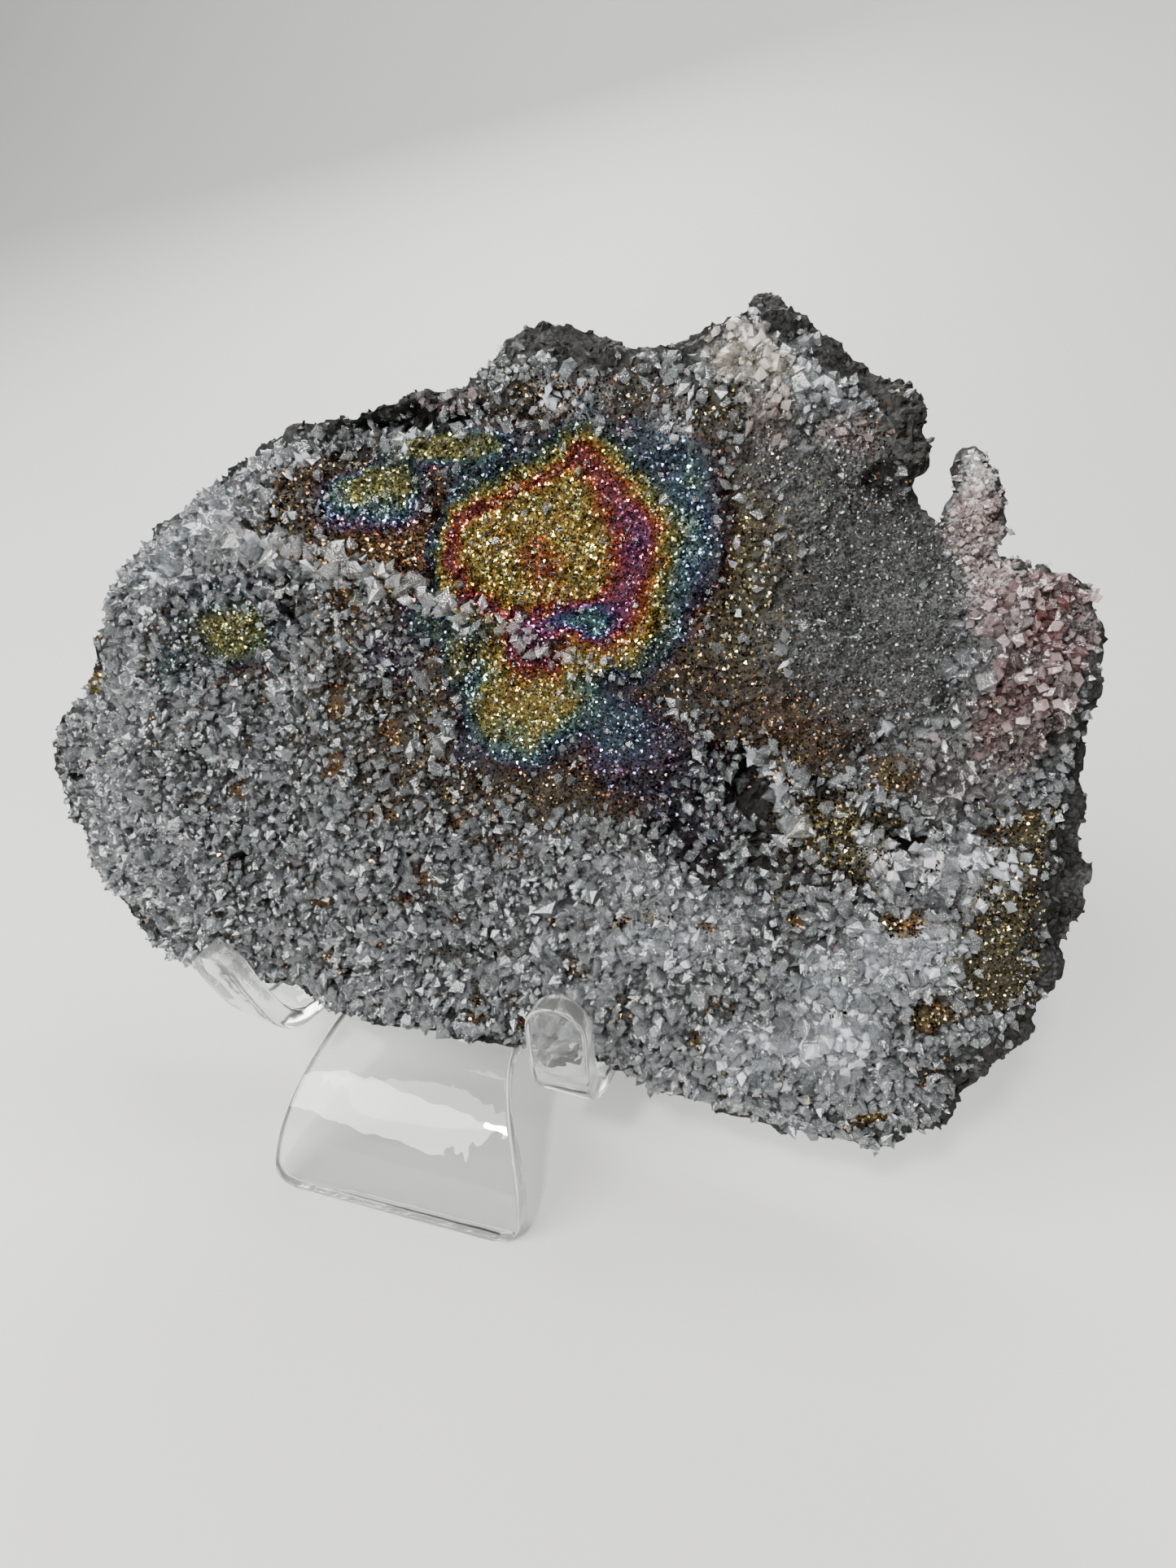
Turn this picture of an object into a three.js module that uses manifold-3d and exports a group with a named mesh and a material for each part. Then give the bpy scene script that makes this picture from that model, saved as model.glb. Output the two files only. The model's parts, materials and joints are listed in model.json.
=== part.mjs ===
// Chalcopyrite on calcite: a slab of dark matrix with a crust of calcite crystals and tarnished
// chalcopyrite, leaning on a clear acrylic easel. Millimetres, +X right, +Y back, +Z up.
import * as THREE from "three";
import { mergeVertices } from "three/addons/utils/BufferGeometryUtils.js";
import Module from "manifold-3d";

const wasm = await Module();
wasm.setup();

// ---- Driving dimensions -------------------------------------------------------------------
const LEAN = THREE.MathUtils.degToRad(13); // how far the slab leans back
const SEAT_Z = 29.8; // height of the slab's lower edge, where it stands on the arms
const SLAB_FRONT_Y = -32.6; // front of the slab at its lower edge
const SLAB_THICKNESS = 27; // from the mean front to the nearest cleavage face of the back
const RIM_DROP = 7; // how far the front turns back towards the rim
const BACK_DROP = 4; // how far the back comes forward towards the rim
const BACK_INSET = 0.93; // the back's outline, as a share of the front's
const FRONT_CAP = 0.5; // share of the pressed sphere's area that becomes the front
const BACK_CAP = 0.33; // share that becomes the back; the belt between them is the side wall
const BODY_DETAIL = 15; // each edge of the icosahedron is parted into this many plus one

const SHEET = 4.8; // thickness of the acrylic sheet
const SADDLE_Z = 26.5; // mid-height of the sheet where it runs flat under the slab
const SADDLE_FRONT_Y = -17; // the flat plate runs back from here
const SADDLE_SPARE = 0.3; // the plate swells this far past the sheet above and below, where heated
const STAND_X = -12.5; // middle line of the easel
const FOOT_Y = 49.6; // reach of the front and rear feet from the middle
const FRONT_FOOT_HALF = 28;
const REAR_FOOT_HALF = 36;
const NECK_HALF = 17; // half the width of the sheet where it passes under the slab
const NECK_SHIFT = -2.8; // the neck is cut a little left of the foot's middle
const FOOT_BOW = 2.6; // how far the foot's sides bow out of a straight taper, at their control point
const ARM_WIDTH = 12.6;
// The two arms were bent by hand. The left hook faces outward and flares more than the right one.
const ARMS = [
  { x: -38, y: -33, turn: THREE.MathUtils.degToRad(-18), flare: 7, top: 52 },
  { x: 33, y: -34.5, turn: THREE.MathUtils.degToRad(-2), flare: 2.5, top: 53.8 },
];
const BACKREST_Y = -2.8; // middle of the sheet where the backrest starts to rise
const BACKREST_TOP_Z = 118;
const BACKREST_HALF = 16;

// ---- Outline of the slab, as seen square on: [across, up], from the left tip clockwise -----
const OUTLINE = [
  [-113, 48], [-110.5, 57], [-101.5, 66], [-95.5, 76], [-91.5, 86], [-82.5, 98], // left shoulder
  [-70.5, 108], [-62.5, 115], [-54.5, 121], [-48, 125], [-39, 125], [-32, 128],
  [-20, 131], [-9, 132.5], [-7, 138], [-1, 144], [4, 144.5], [11, 143.5], [19, 140.5], // first crest
  [26, 140], [34, 143.5], [39, 145.5], [42.5, 149], [45, 149], [51, 145.5], // peak
  [60, 139.5], [67, 134.5], [71, 128.5], [72, 122], [70, 118], // down to the notch
  [79, 113], [86, 111.5], [91, 107.5], [101, 107.5], [106, 99], [106, 87], // right shoulder
  [107.5, 74], [108, 67], [111, 58], [110.5, 46], [107.5, 35], [105.5, 27],
  [98.5, 17], [95.5, 8], [89, 2.5], [81, -2.5], [67, -3.5], [53, -2.5], [41, -1], // lower right
  [28, 1.2], [13, 1.4], [6, 0.6], [-12, 0.6], [-30, 1.2], [-42, 2.4], [-60, 3], // lower edge
  [-73, 4.5], [-81, 9], [-89.5, 17], [-97, 25], [-105, 33], [-111, 42],
];
const CENTRE = new THREE.Vector2(4, 68);
const HALF_ACROSS = 113;
const HALF_UP = 76;

// ---- Relief of the front: [across, up, half-length, half-width, turn in degrees, height] ----
const SWELLS = [
  [8, 104, 30, 20, 10, -4.5], // dished patch of tarnished chalcopyrite
  [-24, 112, 18, 9, -8, -2.5], // second dish, left of it
  [-18, 124, 16, 4, 6, -3.5], // shaded groove under the top left edge
  [-56, 48, 34, 26, 20, 5], // swell of the calcite druse on the left
  [-60, 84, 16, 8, 25, -2], // coppery hollow in the druse
  [-100, 52, 16, 22, 0, -7], // the left tip turns back
  [8, 74, 14, 9, 0, -2], // lower lobe of tarnish
  [40, 40, 22, 16, -20, 2], // druse in the middle of the lower half
  [50, 61, 8, 15, 22, -7], // deep cavity
  [79, 58, 7, 6, -30, -6], // smaller cavity beside it
  [66, 68, 16, 5, -32, 3.5], // bridge of crystals between the cavities
  [82, 60, 8, 3, -20, 3], // pale ledge
  [78, 32, 20, 17, 30, 6], // bulge of bluish white calcite, lower right
  [62, 103, 24, 20, -10, 1.5], // fine dark druse, upper right
  [37, 98, 4, 22, 8, -2], // shallow trough beside it
  [92, 92, 12, 16, 0, 3], // pink crust
  [12, 135, 10, 6, 0, 2.5], // bluish calcite under the first crest
  [43, 135, 12, 7, -15, 2], // cream calcite under the peak
  [58, 141, 13, 5, -40, -5], // smooth broken face right of the peak
  [9, 142, 13, 4, 0, -4], // dark broken face of the first crest
  [-45, 123, 10, 4, 0, -4],
  [106, 60, 5, 46, 0, -6], // dark bevelled right side
  [-50, 5, 10, 10, 0, -5.5], // the crust is thin where the two hooks hold it
  [21, 3, 9, 7, 0, -2.5],
];
// Where the front is finer than the druse: [across, up, half-length, half-width, turn, share].
const SMOOTH_PATCHES = [
  [6, 104, 34, 20, 0, 1], [62, 104, 26, 20, 0, 0.8], [-26, 112, 20, 9, 0, 0.6], [8, 74, 14, 10, 0, 0.7],
  [58, 142, 13, 6, -40, 1],
];
// Middle line of the ridge of coarse calcite that crosses the front.
const VEIN = [
  [-62, 106], [-49, 103], [-38, 98], [-28, 97], [-18, 94], [-4, 90], [11, 86], [27, 83], [40, 77],
];
const VEIN_HEIGHT = 3;
const VEIN_HALF = 3.2;
const DRUSE_RELIEF = 1.5; // how far single crystals of the druse stand out or in
const CRUST_STEP = 2.5; // the druse below the ridge stands this far proud of the metal above it
const BROAD_WAVES = { size: 15, height: 1.5 }; // uneven growth over the whole front
const FINE_WAVES = { size: 6, onMetal: 0.5, onCrust: 1.2 };
const BACK_WAVES = { size: 12, height: 1.3 };
const WALL_CHIPS = { size: 8, height: 1.6 };

// The broken back, as flat cleavage faces: [slope across, slope up, how far behind the nearest one].
const BACK_FACES = [
  [0.02, 0.04, 0], [-0.09, 0.03, 1.9], [0.1, -0.04, 2.8], [0.03, -0.15, 4.7], [-0.05, 0.19, 4.7],
];

// ---- Coarse crystals: [across, up, half-length, half-width, count, length] ------------------
const CLUSTERS = [
  [-20, 121, 3, 3, 5, 7], // white cluster in the groove
  [12, 134, 10, 5, 5, 6],
  [77, 34, 18, 16, 12, 7.5],
  [66, 68, 14, 4, 5, 7],
  [93, 92, 9, 13, 7, 6.5],
];
// Knobbly lumps on the rim: [across, up, depth, half-sizes across, up and deep].
const LUMPS = [
  [81, 113, -10, 5.4, 6, 6], [82, 118, -10, 4.4, 5.6, 4.5], [79.5, 122.5, -10, 3.2, 4, 3.6], // horn
  [68, 130, -8, 5, 5, 6], [69.5, 124, -7, 4.4, 4, 6], [64, 133, -10, 4.5, 4, 5], // black knob
  [97, 102, -8, 6, 4.5, 6], [88, 105, -8, 5, 4, 6], // pink crust on the shoulder
  [43.5, 145.5, -10, 3.4, 4.6, 5], // peak
];
const VEIN_CRYSTALS = 22;
const EDGE_CRYSTALS = 14; // along the lower edge, right of the arms
const EDGE_RUN = [32, 89]; // from here to here, across
const CRYSTAL_SLENDER = 0.36; // half-width of a crystal, as a share of its length

// ---- Repeatable variation -------------------------------------------------------------------
let seed = 20417;
function random(low, high) {
  seed = (seed * 1664525 + 1013904223) >>> 0;
  return low + ((high - low) * seed) / 4294967296;
}

function cornerValue(i, j, k) {
  const wave = Math.sin(i * 127.1 + j * 311.7 + k * 74.7) * 43758.5453;
  return 2 * (wave - Math.floor(wave)) - 1;
}

// Smooth noise from -1 to 1 with one lattice corner every unit.
function noise(x, y, z) {
  const i = Math.floor(x);
  const j = Math.floor(y);
  const k = Math.floor(z);
  const ease = (t) => t * t * (3 - 2 * t);
  const [u, v, w] = [ease(x - i), ease(y - j), ease(z - k)];
  const mix = THREE.MathUtils.lerp;
  const layer = (l) =>
    mix(
      mix(cornerValue(i, j, l), cornerValue(i + 1, j, l), u),
      mix(cornerValue(i, j + 1, l), cornerValue(i + 1, j + 1, l), u),
      v,
    );
  return mix(layer(k), layer(k + 1), w);
}

// ---- Joining ----------------------------------------------------------------------------------
function toSolid(geometry) {
  const bare = geometry.clone();
  bare.deleteAttribute("normal");
  bare.deleteAttribute("uv");
  const merged = mergeVertices(bare, 1e-4);
  return new wasm.Manifold(
    new wasm.Mesh({
      numProp: 3,
      vertProperties: merged.attributes.position.array,
      triVerts: new Uint32Array(merged.index.array),
    }),
  );
}

function toGeometry(solid) {
  const mesh = solid.getMesh();
  return new THREE.BufferGeometry()
    .setAttribute("position", new THREE.BufferAttribute(mesh.vertProperties, 3))
    .setIndex(new THREE.BufferAttribute(mesh.triVerts, 1));
}

// Joins closed pieces in one, and fills the small voids sealed between them.
function joined(geometries) {
  const whole = wasm.Manifold.union(geometries.map(toSolid));
  return whole.decompose().reduce((best, next) => (next.volume() > best.volume() ? next : best));
}

// ---- The slab -----------------------------------------------------------------------------------
// Distance from the centre to the outline, in the direction of (x, y).
function outlineReach(x, y) {
  const ray = new THREE.Vector2(x, y).normalize();
  let reach = 0;
  OUTLINE.forEach(([ax, ay], i) => {
    const [bx, by] = OUTLINE[(i + 1) % OUTLINE.length];
    const edge = new THREE.Vector2(bx - ax, by - ay);
    const start = new THREE.Vector2(ax, ay).sub(CENTRE);
    const across = ray.cross(edge);
    const along = start.cross(edge) / across;
    const share = start.cross(ray) / across;
    if (along > 0 && share >= 0 && share <= 1) reach = Math.max(reach, along);
  });
  return reach;
}

function swell(x, y, [cx, cy, length, width, turn, height]) {
  const angle = THREE.MathUtils.degToRad(turn);
  const p = new THREE.Vector2(x - cx, y - cy).rotateAround(new THREE.Vector2(), -angle);
  return height * Math.exp(-((p.x / length) ** 2) - (p.y / width) ** 2);
}

// Signed distance to the ridge of coarse calcite, positive below it.
function belowVein(x, y) {
  let nearest = Infinity;
  let side = 1;
  for (let i = 0; i < VEIN.length - 1; i++) {
    const a = new THREE.Vector2(...VEIN[i]);
    const run = new THREE.Vector2(...VEIN[i + 1]).sub(a);
    const from = new THREE.Vector2(x, y).sub(a);
    const share = THREE.MathUtils.clamp(from.dot(run) / run.lengthSq(), 0, 1);
    const off = from.clone().addScaledVector(run, -share);
    if (off.length() < nearest) {
      nearest = off.length();
      side = run.cross(from) < 0 ? 1 : -1;
    }
  }
  return side * nearest;
}

// How far the druse covers the front at (x, y): none on the fine metal, all of it on the calcite.
function druseCover(x, y) {
  const dark = SMOOTH_PATCHES.reduce((sum, patch) => sum + swell(x, y, patch), 0);
  return THREE.MathUtils.clamp(1 - dark, 0.15, 1);
}

function frontDepth(x, y, share) {
  const below = belowVein(x, y);
  const crust = THREE.MathUtils.smoothstep(below, -3, 4);
  return (
    SWELLS.reduce((sum, one) => sum + swell(x, y, one), 0) +
    VEIN_HEIGHT * Math.exp(-((below / VEIN_HALF) ** 2)) +
    CRUST_STEP * crust -
    RIM_DROP * share ** 7 +
    BROAD_WAVES.height * noise(x / BROAD_WAVES.size, y / BROAD_WAVES.size, 3.1) +
    THREE.MathUtils.lerp(FINE_WAVES.onMetal, FINE_WAVES.onCrust, crust) *
      noise(x / FINE_WAVES.size, y / FINE_WAVES.size, 8.7)
  );
}

function backDepth(x, y, share) {
  const faces = BACK_FACES.map(([a, b, behind]) => behind + a * (x - CENTRE.x) + b * (y - CENTRE.y));
  const thickness = SLAB_THICKNESS + Math.min(...faces) - BACK_DROP * share ** 8;
  return -thickness + BACK_WAVES.height * noise(x / BACK_WAVES.size, y / BACK_WAVES.size, 21.4);
}

// A sphere's surface pressed onto the outline: its front cap becomes the face, a belt the side
// wall and the rest the back.
function slabGeometry() {
  const geometry = new THREE.IcosahedronGeometry(1, BODY_DETAIL);
  const position = geometry.getAttribute("position");
  const from = new THREE.Vector3();
  for (let i = 0; i < position.count; i++) {
    from.fromBufferAttribute(position, i).normalize();
    const area = (1 - from.z) / 2;
    const turn = Math.atan2(from.y, from.x);
    const ellipse = new THREE.Vector2(HALF_ACROSS * Math.cos(turn), HALF_UP * Math.sin(turn));
    const rim = ellipse.clone().setLength(outlineReach(ellipse.x, ellipse.y));
    const onFront = area <= FRONT_CAP;
    const onBack = area >= 1 - BACK_CAP;
    const belt = onFront ? 0 : onBack ? 1 : (area - FRONT_CAP) / (1 - BACK_CAP - FRONT_CAP);
    const share = onFront ? Math.sqrt(area / FRONT_CAP) : onBack ? Math.sqrt((1 - area) / BACK_CAP) : 1;
    const inset = THREE.MathUtils.lerp(1, BACK_INSET, Math.sqrt(belt));
    const p = rim.multiplyScalar(share * inset).add(CENTRE);
    const depth = THREE.MathUtils.lerp(
      onBack ? 0 : frontDepth(p.x, p.y, share),
      onFront ? 0 : backDepth(p.x, p.y, share),
      belt,
    );
    const { size, height } = WALL_CHIPS;
    const chip = onFront || onBack ? 0 : height * noise(p.x / size, p.y / size, depth / size);
    const out = p.clone().sub(CENTRE).setLength(chip);
    const rough = onFront ? DRUSE_RELIEF * druseCover(p.x, p.y) : DRUSE_RELIEF * 0.4;
    const crystal = rough * cornerValue(Math.round(p.x * 4), Math.round(p.y * 4), 0.5);
    position.setXYZ(i, p.x + out.x, -depth - crystal, p.y + out.y);
  }
  return geometry;
}

// A scalenohedron of calcite: two points and a zigzag girdle of six corners.
function crystalGeometry(length, width) {
  const corners = [0, 0, length / 2, 0, 0, -length / 2];
  for (let i = 0; i < 6; i++) {
    const turn = (i * Math.PI) / 3 + (i % 2 ? 0.14 : -0.14);
    corners.push(width * Math.cos(turn), width * Math.sin(turn), (i % 2 ? 1 : -1) * length * 0.08);
  }
  const faces = [];
  for (let i = 0; i < 6; i++) {
    const [here, next] = [2 + i, 2 + ((i + 1) % 6)];
    faces.push(0, here, next, 1, next, here);
  }
  return new THREE.BufferGeometry()
    .setAttribute("position", new THREE.Float32BufferAttribute(corners, 3))
    .setIndex(faces);
}

// A crystal rooted in the front at (x, y) and pointing roughly outward.
function frontCrystal(x, y, length, splay = 0.75) {
  const offset = new THREE.Vector2(x, y).sub(CENTRE);
  const share = offset.length() / outlineReach(offset.x, offset.y);
  const depth = frontDepth(x, y, Math.min(share, 1));
  const size = length * random(0.75, 1.2);
  const aim = new THREE.Vector3(random(-splay, splay), -1, random(-splay, splay)).normalize();
  const turn = new THREE.Quaternion().setFromUnitVectors(new THREE.Vector3(0, 0, 1), aim);
  return crystalGeometry(size, size * CRYSTAL_SLENDER)
    .rotateZ(random(0, Math.PI))
    .applyQuaternion(turn)
    .translate(x, -depth, y);
}

function alongVein(share) {
  const step = share * (VEIN.length - 1);
  const i = Math.min(Math.floor(step), VEIN.length - 2);
  const part = step - i;
  return [0, 1].map((axis) => THREE.MathUtils.lerp(VEIN[i][axis], VEIN[i + 1][axis], part));
}

function coarseCrystals() {
  const crystals = [];
  for (const [x, y, across, up, count, length] of CLUSTERS) {
    for (let i = 0; i < count; i++) {
      const turn = i * 2.39996; // the golden angle spreads them evenly
      const out = Math.sqrt((i + 0.5) / count);
      const px = x + across * out * Math.cos(turn) + random(-1, 1);
      const py = y + up * out * Math.sin(turn) + random(-1, 1);
      crystals.push(frontCrystal(px, py, length));
    }
  }
  for (let i = 0; i < VEIN_CRYSTALS; i++) {
    const [x, y] = alongVein((i + 0.5) / VEIN_CRYSTALS);
    crystals.push(frontCrystal(x + random(-2, 2), y + random(-1.6, 1.6), 8, 1));
  }
  return crystals;
}

// Crystals that hang from the lower edge, clear of the two arms.
function edgeCrystals() {
  const crystals = [];
  for (let i = 0; i < EDGE_CRYSTALS; i++) {
    const x = THREE.MathUtils.lerp(...EDGE_RUN, (i + 0.5) / EDGE_CRYSTALS) + random(-1, 1);
    const offset = new THREE.Vector2(x, -2).sub(CENTRE);
    const rim = offset.setLength(outlineReach(offset.x, offset.y) - 1).add(CENTRE);
    const length = random(4.5, 6.5);
    const crystal = crystalGeometry(length, length * CRYSTAL_SLENDER);
    crystal.rotateX(random(-0.5, 0.9)).rotateY(random(-0.6, 0.6));
    crystals.push(crystal.translate(rim.x, random(4, 11), rim.y));
  }
  return crystals;
}

// A rounded lump with an uneven surface.
function lumpGeometry([x, y, depth, across, up, deep]) {
  const geometry = new THREE.IcosahedronGeometry(1, 1);
  const position = geometry.getAttribute("position");
  const p = new THREE.Vector3();
  for (let i = 0; i < position.count; i++) {
    p.fromBufferAttribute(position, i);
    const rough = 1 + 0.22 * noise(p.x * 2 + x, p.y * 2 + y, p.z * 2);
    position.setXYZ(i, x + p.x * across * rough, -depth - p.z * deep * rough, y + p.y * up * rough);
  }
  return geometry;
}

function mineralSpecimen() {
  const pieces = [
    slabGeometry(),
    ...LUMPS.map(lumpGeometry),
    ...coarseCrystals(),
    ...edgeCrystals(),
  ];
  const material = new THREE.MeshStandardMaterial({ color: 0x6d6c68, roughness: 0.55, flatShading: true });
  const mesh = new THREE.Mesh(toGeometry(joined(pieces)), material);
  mesh.name = "mineral_specimen";
  mesh.rotation.x = -LEAN;
  mesh.position.set(0, SLAB_FRONT_Y, SEAT_Z);
  return mesh;
}

// ---- The easel ----------------------------------------------------------------------------------
// A bent sheet seen from the side: the middle line [back, up] thickened by half a sheet each way.
function sheetProfile(line) {
  const sides = [[], []];
  line.forEach(([y, z], i) => {
    const before = line[Math.max(i - 1, 0)];
    const after = line[Math.min(i + 1, line.length - 1)];
    const run = new THREE.Vector2(after[0] - before[0], after[1] - before[1]).normalize();
    sides[0].push(new THREE.Vector2(y - (run.y * SHEET) / 2, z + (run.x * SHEET) / 2));
    sides[1].push(new THREE.Vector2(y + (run.y * SHEET) / 2, z - (run.x * SHEET) / 2));
  });
  return new THREE.Shape([...sides[0], ...sides[1].reverse()]);
}

// A profile in the Y-Z plane, extruded across X about the middle.
function acrossX(shape, halfWidth) {
  const geometry = new THREE.ExtrudeGeometry(shape, { depth: 2 * halfWidth, bevelEnabled: false });
  const axes = new THREE.Matrix4().makeBasis(
    new THREE.Vector3(0, 1, 0),
    new THREE.Vector3(0, 0, 1),
    new THREE.Vector3(1, 0, 0),
  );
  return geometry.applyMatrix4(axes).translate(-halfWidth, 0, 0);
}

// A front view in the X-Z plane, extruded through the whole depth.
function throughY(shape, depth = 400) {
  const geometry = new THREE.ExtrudeGeometry(shape, { depth, bevelEnabled: false, curveSegments: 6 });
  return geometry.rotateX(Math.PI / 2).translate(0, depth / 2, 0);
}

function arcPoints(centre, radii, from, to, steps) {
  const points = [];
  for (let i = 0; i <= steps; i++) {
    const turn = THREE.MathUtils.degToRad(THREE.MathUtils.lerp(from, to, i / steps));
    points.push([centre[0] + radii[0] * Math.cos(turn), centre[1] + radii[1] * Math.sin(turn)]);
  }
  return points;
}

// A tapered front view with round lower corners: full width at the foot, narrower above. The sides
// bow out of the straight taper by half of the given bow.
function taperedOutline(footHalf, topHalf, topZ, topShift = 0, bow = 0) {
  const corner = 5;
  const middle = (footHalf + topHalf) / 2 + bow;
  const middleZ = (corner + topZ) / 2;
  const shape = new THREE.Shape();
  shape.moveTo(-footHalf + corner, 0);
  shape.lineTo(footHalf - corner, 0);
  shape.quadraticCurveTo(footHalf, 0, footHalf - 0.2, corner);
  shape.quadraticCurveTo(topShift / 2 + middle, middleZ, topShift + topHalf, topZ);
  shape.lineTo(topShift - topHalf, topZ);
  shape.quadraticCurveTo(topShift / 2 - middle, middleZ, -footHalf + 0.2, corner);
  shape.quadraticCurveTo(-footHalf, 0, -footHalf + corner, 0);
  return shape;
}

function cutTo(profile, outline, halfWidth) {
  return toSolid(acrossX(profile, halfWidth)).intersect(toSolid(throughY(outline)));
}

// The front foot falls like a waterfall from the saddle to the shelf.
function frontFoot() {
  const reach = 24;
  const middle = -FOOT_Y + SHEET / 2;
  const line = [
    [middle, -SHEET],
    ...arcPoints([middle + reach, 0], [reach, SADDLE_Z], 180, 90, 14),
    [SADDLE_FRONT_Y + 4, SADDLE_Z],
  ];
  const outline = taperedOutline(FRONT_FOOT_HALF, NECK_HALF, SADDLE_Z + SHEET, NECK_SHIFT, FOOT_BOW);
  return cutTo(sheetProfile(line), outline, FRONT_FOOT_HALF + 2);
}

// The backrest rises from the saddle, bends over at the top and comes down as the rear leg.
function backrestAndRearLeg() {
  const bend = 8;
  const topY = BACKREST_Y + 2 + (BACKREST_TOP_Z - SADDLE_Z) * Math.tan(LEAN);
  const line = [
    [SADDLE_FRONT_Y + 5, SADDLE_Z],
    ...arcPoints([BACKREST_Y - 6, SADDLE_Z + bend], [bend, bend], 270, 347, 6),
    ...arcPoints([topY + bend - 2, BACKREST_TOP_Z - bend], [bend, bend], 167, 14, 10),
    [FOOT_Y - SHEET / 2, 6],
    [FOOT_Y - SHEET / 2, -SHEET],
  ];
  const outline = taperedOutline(REAR_FOOT_HALF, BACKREST_HALF, BACKREST_TOP_Z + SHEET);
  return cutTo(sheetProfile(line), outline, REAR_FOOT_HALF + 2);
}

// One arm: flat under the slab, then a round bend up into a hook that flares forward to a round end.
function arm({ x, y, turn, flare, top }) {
  const rise = top - SADDLE_Z;
  const side = new THREE.SplineCurve([
    new THREE.Vector2(20, 0),
    new THREE.Vector2(12, 0),
    new THREE.Vector2(6, 0.8),
    new THREE.Vector2(1.2, 5),
    new THREE.Vector2(-0.4 - 0.25 * flare, 0.42 * rise),
    new THREE.Vector2(-0.6 - 0.8 * flare, 0.76 * rise),
    new THREE.Vector2(-0.6 - flare, rise),
  ]);
  const line = side.getSpacedPoints(22).map((point) => [point.x, SADDLE_Z + point.y]);
  const half = ARM_WIDTH / 2;
  const outline = new THREE.Shape();
  outline.moveTo(-half, SADDLE_Z - SHEET);
  outline.lineTo(half, SADDLE_Z - SHEET);
  outline.lineTo(half, top - half);
  outline.absarc(0, top - half, half, 0, Math.PI, false);
  outline.lineTo(-half, SADDLE_Z - SHEET);
  const bent = toGeometry(cutTo(sheetProfile(line), outline, half + 1));
  return toSolid(bent.rotateZ(turn).translate(x, y, 0));
}

// The flat plate behind the neck and the arms, which carries both, the backrest and the slab.
function saddle() {
  const half = ARMS[1].x + ARM_WIDTH / 2 - 2;
  const rearY = BACKREST_Y - 5;
  const plan = new THREE.Shape();
  plan.moveTo(-half, SADDLE_FRONT_Y);
  plan.lineTo(half, SADDLE_FRONT_Y);
  plan.quadraticCurveTo(half, rearY, half - 9, rearY);
  plan.lineTo(-half + 9, rearY);
  plan.quadraticCurveTo(-half, rearY, -half, SADDLE_FRONT_Y);
  const thickness = SHEET + 2 * SADDLE_SPARE;
  const plate = new THREE.ExtrudeGeometry(plan, { depth: thickness, bevelEnabled: false });
  return toSolid(plate.translate(0, 0, SADDLE_Z - thickness / 2));
}

function displayStand() {
  const solid = [frontFoot(), backrestAndRearLeg(), saddle(), ...ARMS.map(arm)].reduce((all, next) =>
    all.add(next),
  );
  const material = new THREE.MeshStandardMaterial({ color: 0xeef2f2, roughness: 0.08, flatShading: true });
  material.transparent = true;
  material.opacity = 0.25;
  const mesh = new THREE.Mesh(toGeometry(solid), material);
  mesh.name = "display_stand";
  mesh.position.x = STAND_X;
  return mesh;
}

// ---- The whole: its origin is the middle of its box, on the surface it stands on ----------------
const group = new THREE.Group();
group.add(mineralSpecimen(), displayStand());
group.updateMatrixWorld(true);
const box = new THREE.Box3().setFromObject(group, true);
group.position.set(-(box.min.x + box.max.x) / 2, -(box.min.y + box.max.y) / 2, -box.min.z);

export default group;
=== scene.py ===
"""Chalcopyrite on calcite: a crystal-covered slab that leans on a clear acrylic easel.

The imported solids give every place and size. This script dresses them: a finely broken matrix, a druse
of calcite crystals, grains of tarnished chalcopyrite, a pink crust and a smoothly bent easel.
"""

import json
import logging
import math
from dataclasses import dataclass
from enum import Enum
from typing import Iterable, Sequence

import bmesh
import bpy
import numpy as np
from mathutils import Vector
from mathutils.bvhtree import BVHTree
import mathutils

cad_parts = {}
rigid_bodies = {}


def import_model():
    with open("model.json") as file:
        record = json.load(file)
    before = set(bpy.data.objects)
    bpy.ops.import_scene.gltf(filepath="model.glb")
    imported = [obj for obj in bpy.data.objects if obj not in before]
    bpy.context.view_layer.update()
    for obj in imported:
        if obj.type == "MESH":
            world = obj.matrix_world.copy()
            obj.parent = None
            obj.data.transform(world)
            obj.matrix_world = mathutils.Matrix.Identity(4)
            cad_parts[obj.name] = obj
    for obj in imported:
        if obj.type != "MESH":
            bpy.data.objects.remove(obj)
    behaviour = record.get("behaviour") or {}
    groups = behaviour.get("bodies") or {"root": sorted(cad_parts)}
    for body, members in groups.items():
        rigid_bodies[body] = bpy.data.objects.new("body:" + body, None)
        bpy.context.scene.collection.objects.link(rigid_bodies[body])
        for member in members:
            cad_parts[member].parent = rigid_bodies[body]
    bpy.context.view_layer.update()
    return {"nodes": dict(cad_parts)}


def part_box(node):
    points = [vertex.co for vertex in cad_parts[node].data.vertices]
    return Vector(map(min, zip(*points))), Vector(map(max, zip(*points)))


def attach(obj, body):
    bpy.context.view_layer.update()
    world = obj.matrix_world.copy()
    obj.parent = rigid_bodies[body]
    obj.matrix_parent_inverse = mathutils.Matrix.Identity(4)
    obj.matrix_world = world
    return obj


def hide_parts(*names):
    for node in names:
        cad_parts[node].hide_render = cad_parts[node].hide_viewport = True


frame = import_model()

log = logging.getLogger("specimen")

MM = 0.001  # one millimetre, in scene units
BODY = "root"
SPECIMEN_NODE = "mineral_specimen"
EASEL_NODE = "display_stand"

Array = np.ndarray
Colour = tuple[float, float, float]
Pair = tuple[float, float]
Line = list[Pair]
Outline = Sequence[Pair]
Socket = bpy.types.NodeSocket


# ---------------------------------------------------------------------------------------------
# The specimen's own frame
# ---------------------------------------------------------------------------------------------


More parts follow.
